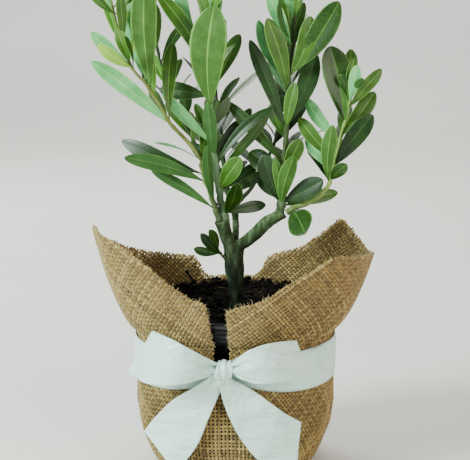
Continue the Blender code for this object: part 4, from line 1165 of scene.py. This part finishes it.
def new_leaf(path, row, rng, nudge):
    """A leaf on a stem, its tip moved a little to the back or the front."""
    height, bearing, rise, length, width, side = row
    root, along = on_stem(path, height)
    root = root - along * 0.8  # sunk into the stem
    way = heading(bearing, rise)
    if nudge:
        way = (way * length + Vector((0.0, nudge, 0.0))).normalized()
    look = {UP: EYE - root, UNDER: root - EYE, SKYWARD: Vector((0.0, 0.0, 1.0)),
            SIDEWAYS: Vector((0.95 if int(height) % 2 else -0.95, 0.0, 0.3))}[side].normalized()
    tilt = heading(rng.uniform(0, 360), rng.uniform(-30, 60)) * 0.35
    face = look + tilt
    face = (face - face.dot(way) * way).normalized()
    return dict(root=root, way=way, face=face, length=length, width=width,
                arch=rng.uniform(0.02, 0.07) * (-1 if side == UNDER else 1))


def grow():
    """Every shoot's leaves. A leaf that can't clear the rest is turned a little, then left out."""
    paths, grown, taken = {}, {}, []
    for name, (knots, radii) in LIMBS.items():
        path = smooth_path(knots, 2)
        taken.append((name, tree_of(*rings(limb_rings(path, spaced(radii, len(path)), 8)))))
    for name, rule in SHOOTS.items():
        path = paths[name] = smooth_path(rule["knots"], 2)
        taken.append((name, tree_of(*rings(limb_rings(path, spaced(rule["radii"], len(path)), 6)))))
    for seed, (name, rule) in enumerate(SHOOTS.items()):
        rng, path, kept, wanted = random.Random(40 + seed), paths[name], [], list(rule["leaves"])
        if rule["pairs"]:
            low, high, pairs, length, width = rule["pairs"]
            middle, spread = rule.get("facing", (90, 180))
            for k in range(pairs):
                up = (k + 0.5) / pairs
                height = low + (high - low) * up
                size = length * (1.0 - 0.45 * up) * rng.uniform(0.85, 1.12)
                for turn in (-1, 1):
                    bearing = middle + turn * spread * rng.uniform(0.35, 1.0) * (0.45 if k % 2 else 1.0)
                    rise = 28 + 38 * up + rng.uniform(-10, 12)
                    side = SKYWARD if "facing" in rule else rng.choice((UP, UNDER))
                    wanted.append((height, bearing, rise, size, width * (1 - 0.3 * up), side))
            wanted.append((high, 90, 84, length * 0.5, width * 0.6, UP))
        if "fill" in rule:
            low, high, number, length, width, middle = rule["fill"]
            for k in range(number):
                up = (k + rng.uniform(0.2, 0.8)) / number
                wanted.append((low + (high - low) * up, middle + rng.choice((-1, 1)) * rng.uniform(4, 34),
                               26 + 34 * up + rng.uniform(-10, 10), length * rng.uniform(0.8, 1.1),
                               width * rng.uniform(0.85, 1.15), SKYWARD))
            more = random.Random(80 + seed)
            for k in range(SIDE_LEAVES):  # seen from the sides, and edge on from the front
                up = (k + more.uniform(0.1, 0.9)) / SIDE_LEAVES
                wanted.append((low + (high - low) * up, middle + 180 * (k % 3 == 2) + more.uniform(-32, 32),
                               24 + 38 * up + more.uniform(-8, 8), length * more.uniform(0.65, 0.9),
                               width * more.uniform(0.8, 1.1), SIDEWAYS))
        for row in wanted:
            state = rng.getstate()
            for nudge in NUDGES:
                rng.setstate(state)
                leaf = new_leaf(path, row, rng, nudge)
                wide = tree_of(*leaf_block(leaf, GAP))
                if not any(owner != name and wide.overlap(other) for owner, other in taken):
                    kept.append(leaf)
                    break
        taken += [(name, tree_of(*leaf_block(leaf))) for leaf in kept]
        grown[name] = kept
    return grown


grown = grow()
print("leaves:", {name: len(leaves) for name, leaves in grown.items()})

# %% Fine leaves
OUTLINE = [(0.0, 0.05), (0.05, 0.07), (0.10, 0.16), (0.18, 0.36), (0.28, 0.58), (0.40, 0.78), (0.52, 0.92),
           (0.64, 1.00), (0.75, 0.97), (0.84, 0.84), (0.91, 0.64), (0.96, 0.42), (0.99, 0.20), (1.0, 0.04)]
ACROSS = (-1.0, -0.9, -0.6, -0.3, -0.05, 0.05, 0.3, 0.6, 0.9, 1.0)


def fine_leaf(leaf, rng):
    """Points, faces and kinds (0 upper, 1 under, 2 rib) of one leaf."""
    points, faces, kinds = [], [], []
    length, wave, phase = leaf["length"], rng.uniform(0.02, 0.05), rng.uniform(0, 6.3)
    twist, droop, skew = rng.gauss(0, 0.22), rng.uniform(-0.01, 0.05), rng.gauss(0, 0.03)
    fold = LEAF_FOLD * rng.uniform(0.7, 1.9)
    thick = 0.26 + 0.002 * length
    for s, share in OUTLINE:
        centre, wide, out = leaf_frame(leaf, s)
        turn = twist * (s - 0.3)
        c, d = math.cos(turn), math.sin(turn)
        wide, out = wide * c + out * d, out * c - wide * d
        centre = centre - out * (droop * length * s ** 3) + wide * (skew * length * math.sin(math.pi * s))
        half = max(leaf["width"] / 2 * share, 0.42 - 0.2 * s)
        for upper in (True, False):
            for u in ACROSS if upper else ACROSS[::-1]:
                lift = fold * half * abs(u) - 0.10 * half * u * u
                lift += wave * half * math.sin(11.0 * s + phase + (1.3 if u > 0 else 0.0)) * u * u
                if abs(u) < 0.2:
                    lift += (-0.03 if upper else -0.10) * min(1.0, share * 3) - 0.02
                edge = 0.5 * thick * (1.0 - 0.75 * u * u) * (1 if upper else -1)
                points.append(centre + wide * (u * half) + out * (lift + edge))
    n = 2 * len(ACROSS)
    for i in range(len(OUTLINE) - 1):
        for k in range(n):
            low, high = i * n, (i + 1) * n
            faces.append((low + k, low + (k + 1) % n, high + (k + 1) % n, high + k))
            top = k < len(ACROSS)
            pale = k % len(ACROSS) in (0, 4, 8) or k == 9  # the margins and the midrib
            kinds.append(2 if pale or i == 0 else (0 if top else 1))
    faces.append(tuple(range(n))[::-1])
    faces.append(tuple((len(OUTLINE) - 1) * n + k for k in range(n)))
    kinds += [2, 0]
    return points, faces, kinds


# How the tones are dealt out: chances for deep, dark, mid, fresh and young at the foot of a shoot,
# then at its tip. The darker tones low down and on the back shoots are partly older leaves and
# partly painted shade of the inner crown.
DEAL = {"left_shoot": ((0.16, 0.40, 0.34, 0.10, 0.00), (0.00, 0.05, 0.35, 0.45, 0.15)),
        "centre_shoot": ((0.20, 0.40, 0.30, 0.10, 0.00), (0.00, 0.10, 0.35, 0.40, 0.15)),
        "right_leader": ((0.20, 0.36, 0.30, 0.12, 0.02), (0.06, 0.26, 0.46, 0.18, 0.04)),
        "side_shoot": ((0.28, 0.40, 0.26, 0.06, 0.00), (0.12, 0.36, 0.38, 0.12, 0.02)),
        "back_left_shoot": ((0.40, 0.40, 0.18, 0.02, 0.00), (0.10, 0.35, 0.40, 0.15, 0.00)),
        "back_shoot": ((0.40, 0.42, 0.16, 0.02, 0.00), (0.15, 0.40, 0.35, 0.10, 0.00)),
        "back_right_shoot": ((0.40, 0.42, 0.16, 0.02, 0.00), (0.20, 0.42, 0.32, 0.06, 0.00)),
        "low_sprig": ((1.0, 0.0, 0.0, 0.0, 0.0), (0.6, 0.4, 0.0, 0.0, 0.0))}
# Tones of the leaves that are given one by one, in their order: D deep, d dark, m mid, f fresh, y young.
# Each is the leaf's colour together with the light or shade on it, so partly painted light and shade.
NAMED_TONES = {"centre_shoot": "dDmDdDDdfmdmdmfff", "left_shoot": "dddDfmmffyffmf",
               "right_leader": "mmDDmdmddDmDmfmdfmfm", "side_shoot": "dmdDmffdmmfm"}
SHOWS_ITS_BACK = ("centre_shoot", 11)  # the broad leaf in front is turned over
STEM_TONE = {"left_shoot": "olive", "centre_shoot": "pale", "right_leader": "leader", "side_shoot": "bright"}
STEM_SWELL = {"centre_shoot": 0.35, "right_leader": 0.55, "side_shoot": 0.2}  # at the foot, over the solid
NODE_SWELL = 0.22  # where a leaf grows


def dealt(name, number, leaf, rng):
    """Index of the tone of one leaf."""
    knots, named = SHOOTS[name]["knots"], NAMED_TONES.get(name, "")
    up = min(1.0, max(0.0, (leaf["root"].z - knots[0][2]) / (knots[-1][2] - knots[0][2])))
    low, high = DEAL[name]
    drawn = rng.choices(range(5), [a * (1 - up) + b * up for a, b in zip(low, high)])[0]
    return "Ddmfy".index(named[number]) if number < len(named) else drawn


for name, leaves in grown.items():
    rng = random.Random(900 + len(name))
    points, faces, indices = [], [], []
    for number, leaf in enumerate(leaves):
        more, quads, kinds = fine_leaf(leaf, rng)
        tone = dealt(name, number, leaf, rng)
        if (name, number) == SHOWS_ITS_BACK:
            kinds = [(1, 0, 2)[kind] for kind in kinds]
        gather(points, faces, more, quads)
        indices += [tone + len(TONES) * kind for kind in kinds]
    blades = piece("leaves_" + name, points, faces, LEAF_SLOTS, indices)
    tidy = bmesh.new()
    tidy.from_mesh(blades.data)
    bmesh.ops.recalc_face_normals(tidy, faces=tidy.faces)
    tidy.to_mesh(blades.data)
    tidy.free()

    path = smooth_path(SHOOTS[name]["knots"], 8)
    radii = spaced(SHOOTS[name]["radii"], len(path))
    swell = [0.0] * len(path)
    for leaf in leaves:
        near = min(range(len(path)), key=lambda i: (path[i] - leaf["root"]).length)
        swell[near] = NODE_SWELL
    stout = STEM_SWELL.get(name, 0.1)
    radii = [r * (1 + s) * (1 + 0.05 * math.sin(2.1 * i)) * (1 + stout * (1 - i / len(path)))
             for i, (r, s) in enumerate(zip(radii, swell))]
    path = [p + Vector((0.25 * math.sin(0.9 * i), 0.25 * math.cos(0.7 * i), 0.0)) * min(1.0, i / 4)
            for i, p in enumerate(path)]
    foot = path[0] - (path[1] - path[0]).normalized() * 1.6
    points, quads = rings(limb_rings([foot] + path, [radii[0] * 1.05] + radii, 10))
    twig = piece("stem_" + name, points, quads, [STEMS[STEM_TONE.get(name, "dark")]])
    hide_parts(name)
    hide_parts(name)
    print(f"{name}: {len(leaves)} leaves, {len(blades.data.polygons)} faces, stem {len(path)} rings")
